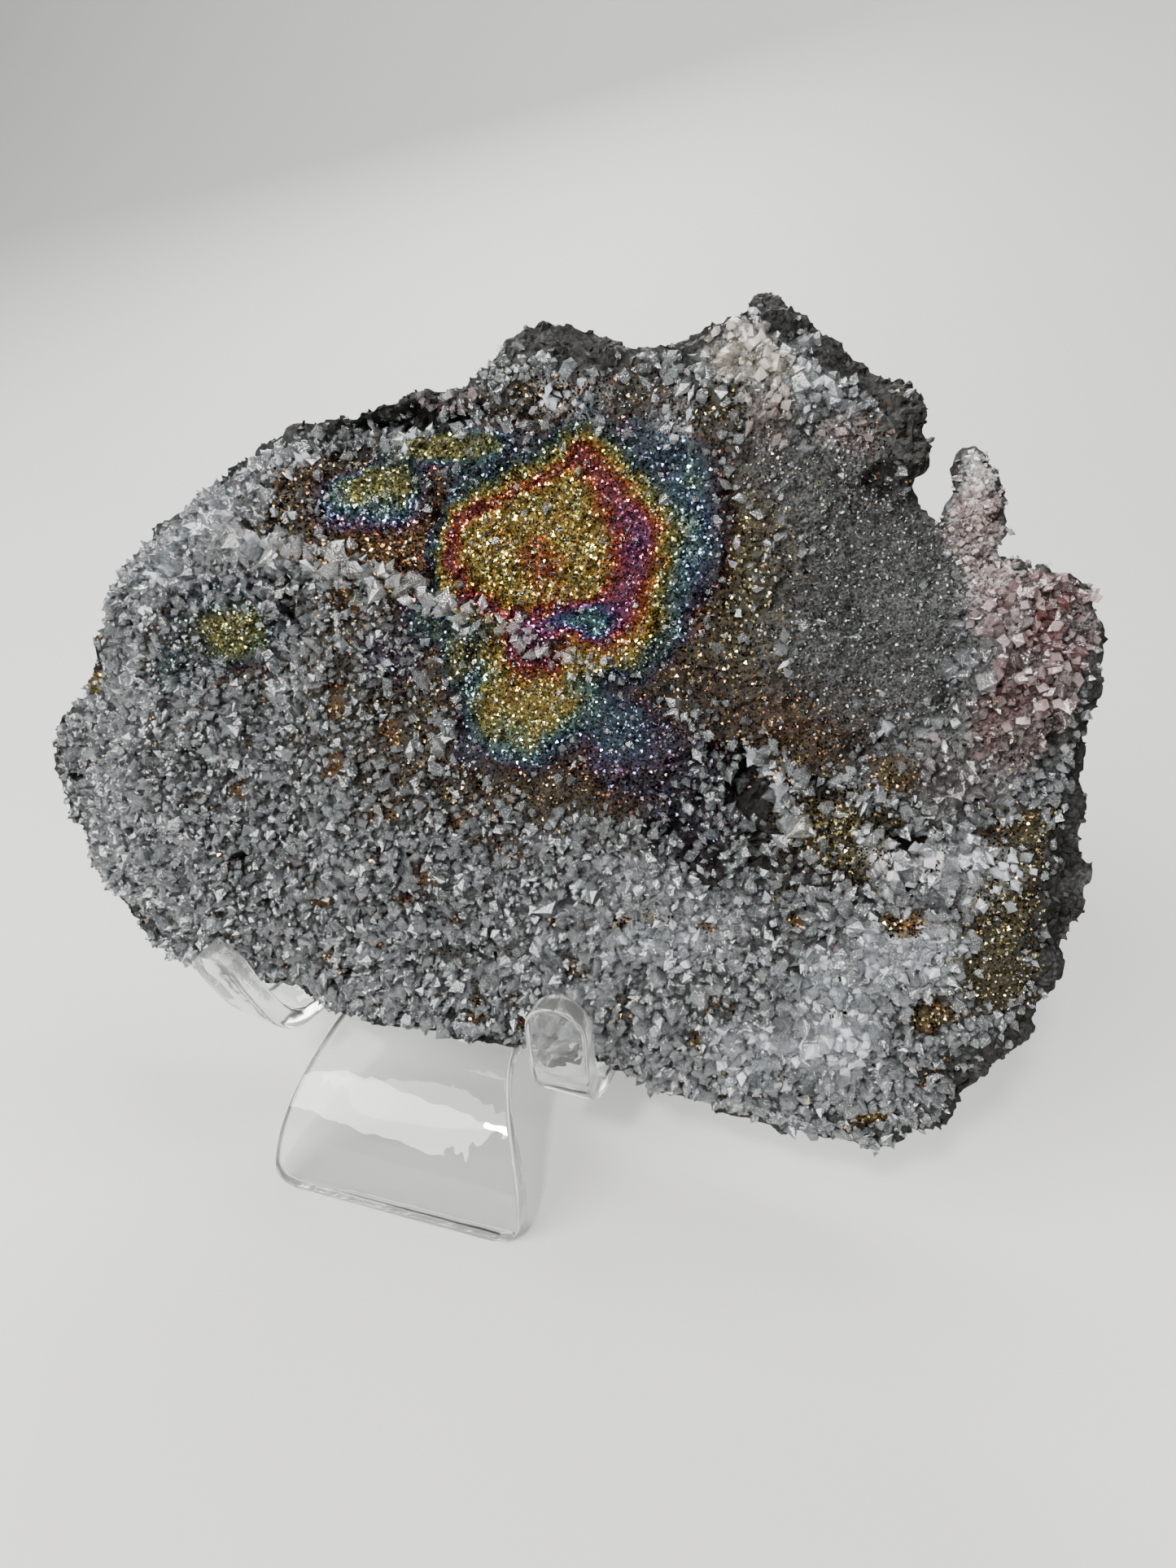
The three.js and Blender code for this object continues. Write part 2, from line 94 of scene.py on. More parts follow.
@dataclass(frozen=True)
class SlabFrame:
    """Millimetres across the slab's face, up it and out of it, against the row frame."""

    lean: float = math.radians(13.0)
    shift_x: float = 0.8205
    front_y: float = -32.6
    seat_z: float = 29.8

    def read(self, points: Array) -> tuple[Array, Array, Array]:
        """Gives row-frame points in the slab's frame.

        Args:
            points: Points in scene units, one row each.

        Returns:
            Across, up and out, in millimetres.
        """
        x, y, z = (points / MM).T
        y = y - self.front_y
        z = z - self.seat_z
        sine, cosine = math.sin(self.lean), math.cos(self.lean)
        return x - self.shift_x, y * sine + z * cosine, z * sine - y * cosine

    @property
    def outward(self) -> Array:
        """The direction that the face looks in, in the row frame."""
        return np.array([0.0, -math.cos(self.lean), math.sin(self.lean)])


SLAB = SlabFrame()


# ---------------------------------------------------------------------------------------------
# Repeatable noise
# ---------------------------------------------------------------------------------------------


# Large odd numbers that scatter neighbouring cells far apart.
HASH_STEPS = (374761393, 668265263, 1440662683)
HASH_SEED = 974634777
HASH_MIX = 1274126177
LOW_32 = 0xFFFFFFFF
LOW_24 = 0xFFFFFF


def lattice(cell: Array, seed: int) -> Array:
    """Gives each whole-number cell a fixed random value.

    Args:
        cell: Integer cells, one row of three each.
        seed: Picks one field of values.

    Returns:
        Values from 0 to 1.
    """
    mixed = sum(cell[:, axis] * step for axis, step in enumerate(HASH_STEPS)) + seed * HASH_SEED
    mixed &= LOW_32
    mixed = ((mixed ^ (mixed >> 13)) * HASH_MIX) & LOW_32
    return ((mixed ^ (mixed >> 16)) & LOW_24) / float(LOW_24 + 1)


def smooth_noise(points: Array, size: float, seed: int) -> Array:
    """Value noise with one lattice corner every `size`.

    Args:
        points: Points in millimetres, one row of three each.
        size: Width of one cell, in millimetres.
        seed: Picks one field.

    Returns:
        Values from -1 to 1.
    """
    scaled = points / size
    base = np.floor(scaled).astype(np.int64)
    part = scaled - base
    ease = part * part * (3.0 - 2.0 * part)
    total = np.zeros(len(points))
    for corner in np.ndindex(2, 2, 2):
        offset = np.array(corner)
        weight = np.prod(np.where(offset == 1, ease, 1.0 - ease), axis=1)
        total += weight * lattice(base + offset, seed)
    return 2.0 * total - 1.0


def layered_noise(points: Array, size: float, seed: int, layers: int = 3) -> Array:
    """Several octaves of value noise, each half as wide and half as strong.

    Args:
        points: Points in millimetres.
        size: Cell width of the widest octave, in millimetres.
        seed: Picks one field.
        layers: Number of octaves.

    Returns:
        Values of about -1 to 1.
    """
    total = np.zeros(len(points))
    for layer in range(layers):
        total += smooth_noise(points, size / 2**layer, seed + layer) / 2**layer
    return total / (2.0 - 2.0 ** (1 - layers))


def facet_noise(points: Array, size: float, seed: int) -> Array:
    """Broken-rock relief: every cell is a flat facet that tilts its own way.

    Args:
        points: Points in millimetres.
        size: Width of one facet, in millimetres.
        seed: Picks one field.

    Returns:
        Heights of about -1 to 1.
    """
    scaled = points / size
    base = np.floor(scaled).astype(np.int64)
    nearest = np.full(len(points), np.inf)
    height = np.zeros(len(points))
    for offset in np.ndindex(3, 3, 3):
        cell = base + np.array(offset) - 1
        jitter = np.stack([lattice(cell, seed + axis) for axis in range(3)], axis=1)
        away = scaled - (cell + jitter)
        distance = np.einsum("ij,ij->i", away, away)
        tilt = np.stack([lattice(cell, seed + 3 + axis) for axis in range(3)], axis=1) - 0.5
        value = lattice(cell, seed + 6) - 0.5 + np.einsum("ij,ij->i", away, tilt) * 1.6
        closer = distance < nearest
        nearest = np.where(closer, distance, nearest)
        height = np.where(closer, value, height)
    return 2.0 * height


def smooth_step(value: Array, low: float, high: float) -> Array:
    """Eases from 0 at `low` to 1 at `high`; a `low` above `high` eases downwards."""
    part = np.clip((value - low) / (high - low), 0.0, 1.0)
    return part * part * (3.0 - 2.0 * part)


# ---------------------------------------------------------------------------------------------
# Where each mineral grows on the face
# ---------------------------------------------------------------------------------------------


@dataclass(frozen=True)
class Patch:
    """A soft-edged oval on the face, in millimetres."""

    across: float
    up: float
    half_length: float
    half_width: float
    turn: float = 0.0
    level: float = 1.0

    def distance(self, across: Array, up: Array) -> Array:
        """Gives 0 at the middle and 1 on the oval's edge.

        Args:
            across: Places across the face.
            up: Places up the face.

        Returns:
            The distance as a share of the way to the edge.
        """
        angle = math.radians(self.turn)
        x, y = across - self.across, up - self.up
        along = x * math.cos(angle) + y * math.sin(angle)
        aside = y * math.cos(angle) - x * math.sin(angle)
        return np.hypot(along / self.half_length, aside / self.half_width)

    def cover(self, across: Array, up: Array, softness: float = 0.35) -> Array:
        """Gives the patch's level inside and 0 outside, with an eased edge."""
        return self.level * smooth_step(self.distance(across, up), 1.0 + softness, 1.0 - softness)

    def swell(self, across: Array, up: Array) -> Array:
        """Gives a bell curve with the patch's level at its middle."""
        return self.level * np.exp(-(self.distance(across, up) ** 2))


@dataclass(frozen=True)
class Warp:
    """Bends places on the face, so that ovals get ragged edges. Sizes are in millimetres."""

    strength: float
    size: float
    seed: int
    layers: int = 3

    def bend(self, mm: Array, across: Array, up: Array) -> tuple[Array, Array]:
        """Moves places a little, each its own way.

        Args:
            mm: The points in millimetres, which pick the noise.
            across: Their places across the face.
            up: Their places up the face.

        Returns:
            The moved places, across and up.
        """
        bent_across = across + self.strength * layered_noise(mm, self.size, self.seed, self.layers)
        bent_up = up + self.strength * layered_noise(mm, self.size, self.seed + 10, self.layers)
        return bent_across, bent_up


@dataclass(frozen=True)
class Blotches:
    """Soft blotches of noise, 0 below `low` and 1 above `high`. The size is in millimetres."""

    size: float
    seed: int
    low: float
    high: float

    def at(self, mm: Array) -> Array:
        """Gives the blotches' strength at points in millimetres."""
        return smooth_step(layered_noise(mm, self.size, self.seed), self.low, self.high)


def strongest(patches: Iterable[Patch], across: Array, up: Array) -> Array:
    """Gives the largest cover of several patches at each place.

    Args:
        patches: The patches.
        across: Places across the face.
        up: Places up the face.

    Returns:
        Covers from 0 up to the patches' levels.
    """
    best = np.zeros(len(across))
    for patch in patches:
        best = np.maximum(best, patch.cover(across, up))
    return best


def heaped(start: object, patches: Iterable[Patch], across: Array, up: Array) -> Array:
    """Adds the swells of several patches to a value.

    Args:
        start: The value, one number or one for each place.
        patches: The patches, with a level below 0 where they take away.
        across: Places across the face.
        up: Places up the face.

    Returns:
        The sums.
    """
    for patch in patches:
        start = start + patch.swell(across, up)
    return start


def follow(curve: Outline, value: Array) -> Array:
    """Reads a bent line, given as its corners, at some values."""
    return np.interp(value, *zip(*curve))


def inside_distance(outline: Outline, across: Array, up: Array) -> Array:
    """Signed distance to an outline.

    Args:
        outline: The outline's corners, in order.
        across: Places across the face.
        up: Places up the face.

    Returns:
        Millimetres to the outline, positive inside it.
    """
    nearest = np.full(len(across), np.inf)
    inside = np.zeros(len(across), dtype=bool)
    for (ax, ay), (bx, by) in zip(outline, list(outline[1:]) + [outline[0]]):
        run_x, run_y = bx - ax, by - ay
        share = np.clip(((across - ax) * run_x + (up - ay) * run_y) / (run_x**2 + run_y**2), 0.0, 1.0)
        nearest = np.minimum(nearest, np.hypot(across - ax - share * run_x, up - ay - share * run_y))
        if ay != by:
            crosses = (ay > up) != (by > up)
            inside ^= crosses & (across < ax + (up - ay) * run_x / run_y)
    return np.where(inside, nearest, -nearest)


class Tarnish(Enum):
    """Named thicknesses of the tarnish film: places on its scale and the colours there."""

    BRASS = (0.02, (0.42, 0.36, 0.17))
    COPPER = (0.09, (0.36, 0.20, 0.08))
    RUST = (0.145, (0.27, 0.12, 0.08))
    PURPLE = (0.20, (0.17, 0.12, 0.22))
    BLUE = (0.27, (0.13, 0.21, 0.31))
    TEAL = (0.35, (0.23, 0.37, 0.33))
    OLIVE = (0.44, (0.43, 0.42, 0.15))
    GOLD = (0.52, (0.66, 0.45, 0.11))
    ORANGE = (0.60, (0.55, 0.25, 0.07))
    RED = (0.67, (0.42, 0.10, 0.05))
    MAGENTA = (0.75, (0.36, 0.09, 0.14))
    VIOLET = (0.83, (0.23, 0.09, 0.24))
    DEEP_BLUE = (0.91, (0.10, 0.15, 0.29))
    SEA_GREEN = (1.0, (0.13, 0.29, 0.28))

    def __init__(self, film: float, colour: Colour) -> None:
        """Takes the place on the scale and the colour."""
        self.film = film
        self.colour = colour


@dataclass
class MineralMap:
    """Says what grows at each place of the specimen's front."""

    main_island: Outline = (
        (15.1, 125.7), (18.3, 121.7), (25.6, 116.4), (32.0, 108.8), (30.5, 100.7), (30.7, 91.9),
        (27.7, 86.0), (23.4, 84.8), (17.7, 85.8), (11.0, 88.5), (3.4, 89.2), (-3.7, 91.4), (-11.7, 94.6),
        (-13.5, 100.0), (-13.7, 105.9), (-11.4, 109.6), (-5.7, 113.8), (4.1, 118.9), (10.5, 123.5),
    )
    island_core: Outline = (
        (10.8, 117.6), (13.6, 115.0), (17.0, 111.0), (19.5, 106.8), (19.2, 100.3), (16.0, 95.7),
        (9.0, 93.8), (1.1, 93.8), (-4.8, 95.5), (-8.0, 99.3), (-8.9, 104.0), (-6.8, 107.6), (-0.5, 110.3),
        (5.0, 113.6),
    )
    lower_island: Outline = (
        (3.1, 88.6), (12.1, 87.8), (18.3, 84.2), (20.0, 80.5), (17.1, 73.3), (13.6, 66.8), (8.1, 64.4),
        (0.6, 65.6), (-3.2, 69.6), (-3.8, 76.9), (-1.6, 84.7),
    )
    vein: Outline = (
        (-59.0, 102.8), (-46.0, 100.3), (-39.2, 100.8), (-27.1, 97.1), (-19.6, 95.3), (-8.0, 91.4),
        (0.9, 89.6), (12.5, 86.0), (24.6, 84.4), (34.3, 80.5), (41.8, 77.6),
    )
    glitter_field: Sequence[Patch] = (
        Patch(8, 98, 36, 27, -8, 0.9), Patch(40, 102, 12, 26, 2, 0.7), Patch(-30, 108, 22, 12, 0, 0.85),
        Patch(-10, 74, 20, 15, 15, 0.6), Patch(20, 70, 26, 14, -5, 0.8), Patch(56, 79, 17, 9, 0, 0.75),
        Patch(18, 128, 24, 8, -5, 0.6), Patch(-58, 83, 17, 12, 10, 0.5), Patch(67, 60, 11, 9, 0, 0.8),
        Patch(6, 61, 34, 9, 0, 0.55), Patch(98, 48, 8, 20, 10, 0.8), Patch(60, 118, 12, 5, -20, 0.3),
        Patch(-32, 84, 9, 16, -10, 0.45),
    )
    metal: Sequence[Patch] = (
        Patch(-28, 109.5, 11, 8, -4), Patch(-21, 103, 9, 6.5, -5, 0.9), Patch(-12, 120.5, 15, 4.5, 8, 0.8),
        Patch(27, 72.5, 11, 9, -10, 0.8), Patch(-56, 83, 8.4, 5.8, 10, 0.88),
        Patch(-69, 74, 6, 5, 30, 0.55), Patch(-58, 90.5, 7, 3, 0, 0.5),
        Patch(-97.7, 66.7, 3.0, 4, -20, 0.6), Patch(47.5, 102, 9, 22, 4, 0.60),
        Patch(57, 79.5, 11, 8, 0, 0.62), Patch(33.8, 110, 4.4, 14, 5), Patch(26, 123, 7, 4, -20, 0.8),
        Patch(-11, 86, 6, 5, -20, 0.72), Patch(-21, 83, 7, 6, 0, 0.5), Patch(65, 57, 7, 5, -20, 0.58),
        Patch(68, 62.5, 3.2, 2.8, 0, 0.9), Patch(74.4, 70.7, 4, 3, 0, 0.75),
        Patch(100.4, 64, 6, 4.5, 0, 0.75), Patch(97, 42, 8, 12, 15, 0.62),
        Patch(79.5, 47, 3.5, 2.5, 0, 0.9), Patch(86.5, 31, 4, 3, 20, 0.8), Patch(-14, 68, 9, 9, 20, 0.45),
        Patch(38, 62, 9, 12, 10, 0.45), Patch(67, 127, 5, 7, 0, 0.5), Patch(40, 131, 4.5, 4.5, 0, 0.5),
        Patch(33, 97, 5, 10, 0, 0.7), Patch(79, 5.5, 3.5, 2, 0, 0.9),
    )
    spots: Sequence[Patch] = (
        Patch(-30, 91.6, 2.2, 4.0, 10), Patch(-30.6, 72.2, 1.7, 4.0, 5), Patch(-29.4, 60.7, 1.8, 4.2, -8),
        Patch(-51.9, 52.7, 2.4, 1.7), Patch(-19.4, 67.3, 2.4, 3.4, 20), Patch(-32.8, 30.5, 2.4, 1.8),
        Patch(-19.0, 52.5, 1.7, 3.0), Patch(-22.5, 50.5, 2.0, 1.5), Patch(-10.5, 39.5, 2.2, 2.0),
        Patch(-14.5, 33.5, 2.4, 1.5), Patch(29.8, 38.8, 2.4, 1.6), Patch(45.5, 39.0, 2.2, 1.4),
        Patch(62, 43.5, 1.6, 1.8), Patch(-0.6, 9.8, 2.4, 1.6), Patch(10.9, 9.6, 1.8, 1.8),
        Patch(46.3, 16.9, 2.0, 2.4), Patch(-5, 52, 1.6, 2.2), Patch(8, 46, 1.8, 1.4),
        Patch(22, 24, 1.5, 1.5),
    )
    fine: Sequence[Patch] = (
        Patch(68, 100, 17.5, 24, 8), Patch(58, 119, 16, 9, -20, 0.95), Patch(55, 90, 8, 9, 0, 0.7),
        Patch(24, 128, 10, 6, 0, 0.4),
    )
    white: Sequence[Patch] = (
        Patch(71, 29, 7, 12, 10), Patch(80.5, 41, 9, 7, 25, 0.85), Patch(93, 55.5, 6, 5.5, 30, 0.85),
        Patch(73, 58.5, 5, 2.0, -45), Patch(81, 55.2, 7, 3.6, 5), Patch(11, 131, 8, 4.5, 10, 0.75),
        Patch(41.6, 138.3, 8, 4.5, -12), Patch(51, 135, 5, 6, -30, 0.45), Patch(-22.6, 121, 2.6, 3.4),
        Patch(36, 40, 14, 10, 0, 0.4), Patch(30, 127, 5, 5, 0, 0.4), Patch(58, 15, 14, 7, 10, 0.5),
        Patch(-47, 117, 6, 2.5, 0, 0.5), Patch(70, 68, 5, 2.5, -30, 0.5), Patch(-64, 102, 24, 12, 12, 0.3),
    )
    pink: Sequence[Patch] = (
        Patch(94, 102, 12, 7, 0, 0.95), Patch(96, 94, 9, 8, 0, 0.95), Patch(93.5, 82, 9, 9, 0, 0.9),
        Patch(-15, 129.5, 9, 1.8, 5, 0.8), Patch(47, 128.5, 4, 5, 0, 0.5), Patch(88, 110, 6, 5, 0, 0.7),
        Patch(61.5, 126, 7, 3, -15, 0.75), Patch(84, 72, 9, 6, 0, 0.45), Patch(78, 56, 9, 4, 0, 0.22),
        Patch(41.6, 138.3, 7, 3.5, -12, 0.22),
    )
    pale: Sequence[Patch] = (
        Patch(81, 119, 5.5, 9.5, 0), Patch(84.5, 108.5, 4.5, 6, 0, 0.8), Patch(90, 109, 5, 3, 0, 0.4),
    )
    bare: Sequence[Patch] = (
        Patch(8, 141.5, 16, 6.0, -6), Patch(-47, 124, 15, 3.6, 18), Patch(60, 140.5, 17, 6.5, -40),
        Patch(70.5, 127, 7, 9, 10), Patch(108.0, 60, 5.0, 52), Patch(102, 18, 7.5, 18, -28),
        Patch(88, 0, 9, 4, 25), Patch(46, 148, 6, 6), Patch(27, 141, 11, 3.2, -4, 0.9),
        Patch(-105, 62, 4, 5, 40, 0.5), Patch(-22, 130, 12, 2.2, 8, 0.7), Patch(97.5, 23, 6, 4.5, 35, 0.8),
    )
    # Pits carved into the front; the matrix also paints shade into them.
    hollows: Sequence[Patch] = (
        Patch(50, 64, 4.8, 7.5, 20), Patch(54, 54, 4.4, 5, -10, 0.85), Patch(78.6, 58.6, 3.0, 2.6),
        Patch(82, 71, 4.0, 3.2, 20, 0.35), Patch(-19, 125.5, 15, 2.6, 6, 0.9),
        Patch(-33, 119, 4, 3, 0, 0.6), Patch(99, 79, 2.5, 6, 0, 0.5), Patch(44, 50, 4, 6, 20, 0.7),
        Patch(62, 52, 6, 3, -20, 0.6), Patch(41, 108, 1.3, 12, 2, 0.35), Patch(66, 119, 3, 2.5, 0, 0.7),
        Patch(61, 67, 5, 2.6, 20, 0.6), Patch(71, 51, 5, 2.2, -30, 0.6), Patch(37, 56, 3.6, 3, 0, 0.6),
        Patch(45, 71, 4, 2.2, 10, 0.6), Patch(90, 66, 4, 2.2, -20, 0.6),
    )
    strong: Sequence[Patch] = (  # where the crystals are longer
        Patch(60, 62, 22, 12, -8, 0.30), Patch(-36, 102, 16, 6, -8, 0.25), Patch(-85, 78, 12, 18, 0, 0.12),
        Patch(20, 20, 30, 16, 0, 0.10),
    )
    # Tarnish outside the two islands, in the order it is laid over.
    stains: Sequence[tuple[Patch, Tarnish]] = (
        (Patch(49, 103, 11, 23, 4, 0.8), Tarnish.BRASS), (Patch(57, 80, 13, 9, 0), Tarnish.COPPER),
        (Patch(-25, 103, 17, 6, -5), Tarnish.COPPER), (Patch(-29.5, 107.6, 11, 2.2, -3), Tarnish.PURPLE),
        (Patch(-27.5, 110.0, 10.5, 2.2, -3), Tarnish.BLUE), (Patch(-28, 112.2, 10, 3.2, 0), Tarnish.TEAL),
        (Patch(-26, 113.8, 8.5, 2.9, 5), Tarnish.OLIVE), (Patch(-14, 121, 15, 3.6, 8), Tarnish.OLIVE),
        (Patch(-7, 117.8, 6, 1.5, 28), Tarnish.TEAL), (Patch(-57, 84, 13, 9, 10), Tarnish.PURPLE),
        (Patch(-60, 84, 11, 8, 20), Tarnish.TEAL), (Patch(-56, 83, 8.0, 5.4, 10), Tarnish.OLIVE),
        (Patch(-69.3, 74.1, 6, 5, 30), Tarnish.TEAL), (Patch(-60, 92, 8, 3, 0), Tarnish.BLUE),
        (Patch(-43.6, 83.9, 5, 5, 0), Tarnish.PURPLE), (Patch(-97.7, 66.7, 4.5, 6, -20), Tarnish.GOLD),
        (Patch(35, 110, 6.4, 14.5, 5), Tarnish.BLUE), (Patch(33.5, 111, 4.8, 12, 8), Tarnish.TEAL),
        (Patch(27, 123.5, 7, 3.5, -20), Tarnish.BLUE), (Patch(29, 71, 12, 10, -10), Tarnish.PURPLE),
        (Patch(24.5, 75, 9.0, 5.5, -25), Tarnish.BLUE), (Patch(-21, 82, 7, 6, 0), Tarnish.PURPLE),
        (Patch(-13, 88.5, 5, 3.4, -20), Tarnish.TEAL), (Patch(-6.3, 82.5, 4.0, 6.0, 0), Tarnish.OLIVE),
        (Patch(0, 65.5, 6, 3.5, 0), Tarnish.BLUE), (Patch(40, 60, 10, 13, 0), Tarnish.PURPLE),
        (Patch(68, 60, 9, 6, 0), Tarnish.BRASS), (Patch(98, 45, 9, 20, 0), Tarnish.BRASS),
        (Patch(40, 131, 7, 6, 0), Tarnish.BRASS),
    )
    ring_depth: float = 0.725  # film along the middle of the main island's ring
    ring_swells: Sequence[Patch] = (
        Patch(27, 104, 9, 13, 5, 0.085), Patch(-6, 93, 8, 5, 0, 0.03), Patch(3, 117, 9, 4, 30, -0.055),
    )
    ring_curve: Outline = (
        (0.0, -0.20), (0.14, -0.11), (0.40, 0.0), (0.62, -0.03), (0.82, -0.16), (1.0, -0.26),
    )
    core_depth: float = 0.515
    core_swells: Sequence[Patch] = (Patch(6.2, 101.2, 5.0, 4.4, 0, 0.15),)
    eye_swells: Sequence[Patch] = (
        Patch(16.5, 91.2, 5.5, 3.4, 5, 0.33), Patch(9.0, 91.2, 5.0, 2.0, -5, 0.10),
    )
    rim_steepness: Sequence[Patch] = (Patch(-18, 99, 9, 12, 0, 1.6), Patch(36, 106, 14, 22, 0, -0.5))
    rim_curve: Outline = ((0, 0.465), (1, 0.39), (2, 0.32), (3.5, 0.24), (5, 0.15))
    lower_curve: Outline = (
        (63, 0.27), (66, 0.35), (70, 0.43), (75, 0.48), (78.5, 0.53), (80.5, 0.60), (83, 0.71), (86, 0.76),
    )
    vein_reach: Outline = ((-45.0, 4.4), (-12.0, 3.4), (4.0, 2.1))
    cream: Sequence[Patch] = (Patch(41.6, 138.3, 8, 4.5, -12, 0.8), Patch(47, 128.5, 4.5, 5.5, 0, 0.5))
    knob: Patch = Patch(68.5, 127.5, 5, 8, 0)  # dark knob at the upper right, with sparks on it
    film_warps: Sequence[Warp] = (Warp(1.9, 9.0, 41, 4), Warp(1.1, 1.6, 45, 1))
    metal_warp: Warp = Warp(2.0, 6.0, 71)
    spot_warp: Warp = Warp(1.3, 1.5, 85, 1)

    def front(self, points: Array, normals: Array) -> Array:
        """Says how far each place belongs to the grown front, not to the broken sides and back.

        Args:
            points: Points in scene units.
            normals: The normals there.

        Returns:
            Shares from 0 to 1.
        """
        across, up, out = SLAB.read(points)
        facing = normals @ SLAB.outward
        rough = layered_noise(points / MM, 6.0, 31)
        # Near the top and the right end, only faces that look well forward have grown.
        weathered = np.maximum(smooth_step(up, 100, 128), smooth_step(across, 88, 102))
        low = 0.02 + 0.34 * weathered
        grown = smooth_step((facing + 0.16 * rough - low) / 0.34, 0.0, 1.0)
        return grown * smooth_step(out, -15.0, -10.0)

    def film(self, points: Array) -> Array:
        """Works out the tarnish film.

        Args:
            points: Points in scene units.

        Returns:
            Its thickness at each point, on the scale of `Tarnish`.
        """
        across, up, _ = SLAB.read(points)
        mm = points / MM
        for warp in self.film_warps:
            across, up = warp.bend(mm, across, up)
        film = 0.07 + 0.07 * layered_noise(mm, 11.0, 65)  # brass to copper on the open field
        for patch, stain in self.stains:
            film = film + (stain.film - film) * np.minimum(patch.cover(across, up, 0.45), 1.0)
        film = self.lower_film(self.main_film(film, across, up), across, up)
        film = np.where(strongest(self.spots, across, up) > 0.2, Tarnish.COPPER.film, film)
        return np.clip(film + 0.030 * smooth_noise(mm, 2.0, 61), 0.0, 1.0)

    def main_film(self, film: Array, across: Array, up: Array) -> Array:
        """Lays the main island over a film: a core, a ring round it and a rim that thins outwards.

        Args:
            film: The film outside the island.
            across: Places across the face, already bent.
            up: Places up the face, already bent.

        Returns:
            The film with the island.
        """
        inward = inside_distance(self.main_island, across, up)
        from_core = -inside_distance(self.island_core, across, up)
        whole_way = np.maximum(np.abs(from_core) + np.maximum(inward, 0.0), 0.01)
        share = np.clip(from_core / whole_way, 0.0, 1.0)
        # From 0 on the core's edge to 1 on the island's edge the ring follows its curve.
        ring = follow(self.ring_curve, share) + heaped(self.ring_depth, self.ring_swells, across, up)
        core = heaped(self.core_depth, self.core_swells, across, up)
        core = core + 0.055 * smooth_noise(np.stack([across, up, up], axis=1), 3.4, 67)
        rise = np.where(from_core > 0.0, ring, np.maximum(core, ring + 0.05 * from_core))
        rise = heaped(rise, self.eye_swells, across, up)
        # Outside the island the rim thins with the distance, faster at the left than at the right.
        outward = np.maximum(-inward, 0.0) * heaped(1.0, self.rim_steepness, across, up)
        rise = np.where(inward < 0.0, follow(self.rim_curve, outward), rise)
        return film + (rise - film) * smooth_step(outward, 5.5, 2.5)

    def lower_film(self, film: Array, across: Array, up: Array) -> Array:
        """Lays the lower island over a film: it thins downwards and towards its sides.

        Args:
            film: The film outside the island.
            across: Places across the face, already bent.
            up: Places up the face, already bent.

        Returns:
            The film with the island.
        """
        depth = inside_distance(self.lower_island, across, up)
        rise = follow(self.lower_curve, up)
        rise = rise + 0.045 * smooth_noise(np.stack([across, up, up], axis=1), 3.4, 69)
        # The film thins towards the island's sides, and in its neck away from the middle.
        rise = rise - 0.15 * smooth_step(depth, 3.8, -1.2) * smooth_step(up, 84, 76)
        rise = rise - 0.24 * smooth_step(np.abs(across - 8.0), 4.0, 8.0) * smooth_step(up, 76, 82)
        return film + (rise - film) * smooth_step(depth, -4.6, -0.6)

    def metal_cover(self, points: Array) -> Array:
        """Says how much of the ground chalcopyrite covers.

        Args:
            points: Points in scene units.

        Returns:
            Shares from 0 to 1.
        """
        across, up, _ = SLAB.read(points)
        mm = points / MM
        across, up = self.metal_warp.bend(mm, across, up)
        cover = strongest(self.metal, across, up)
        cover = np.maximum(cover, smooth_step(inside_distance(self.main_island, across, up), -3.5, -0.5))
        lower = smooth_step(inside_distance(self.lower_island, across, up), -5.0, 1.0)
        cover = np.maximum(cover, lower * (0.80 + 0.20 * smooth_step(up, 66, 74)))
        spots = strongest(self.spots, *self.spot_warp.bend(mm, across, up))
        return np.clip(np.maximum(cover, 0.8 * spots), 0.0, 1.0)

    def gleam(self, across: Array, up: Array) -> Array:
        """Says how bright the metal is, from the dull field to the bright islands and spots.

        Args:
            across: Places across the face.
            up: Places up the face.

        Returns:
            A factor for the metal's colour.
        """
        bright = smooth_step(inside_distance(self.main_island, across, up), -1.5, 2.0)
        lower = smooth_step(inside_distance(self.lower_island, across, up), -1.5, 1.5)
        accents = strongest(self.metal, across, up)
        spots = 0.9 * strongest(self.spots, across, up)
        return np.maximum.reduce([0.42 + 0.70 * bright, 0.42 + 0.52 * lower, accents, spots])

    def vein_cover(self, across: Array, up: Array) -> Array:
        """Says how much of each place the ridge of coarse calcite takes.

        Args:
            across: Places across the face.
            up: Places up the face.

        Returns:
            Shares from 0 to 1.
        """
        nearest = np.full(len(across), np.inf)
        for (ax, ay), (bx, by) in zip(self.vein[:-1], self.vein[1:]):
            run = (bx - ax) ** 2 + (by - ay) ** 2
            share = np.clip(((across - ax) * (bx - ax) + (up - ay) * (by - ay)) / run, 0.0, 1.0)
            gap = np.hypot(across - ax - share * (bx - ax), up - ay - share * (by - ay))
            nearest = np.minimum(nearest, gap)
        return smooth_step(nearest / follow(self.vein_reach, across), 1.0, 0.3)


MAP = MineralMap()


# ---------------------------------------------------------------------------------------------
# Node trees and shaders
# ---------------------------------------------------------------------------------------------


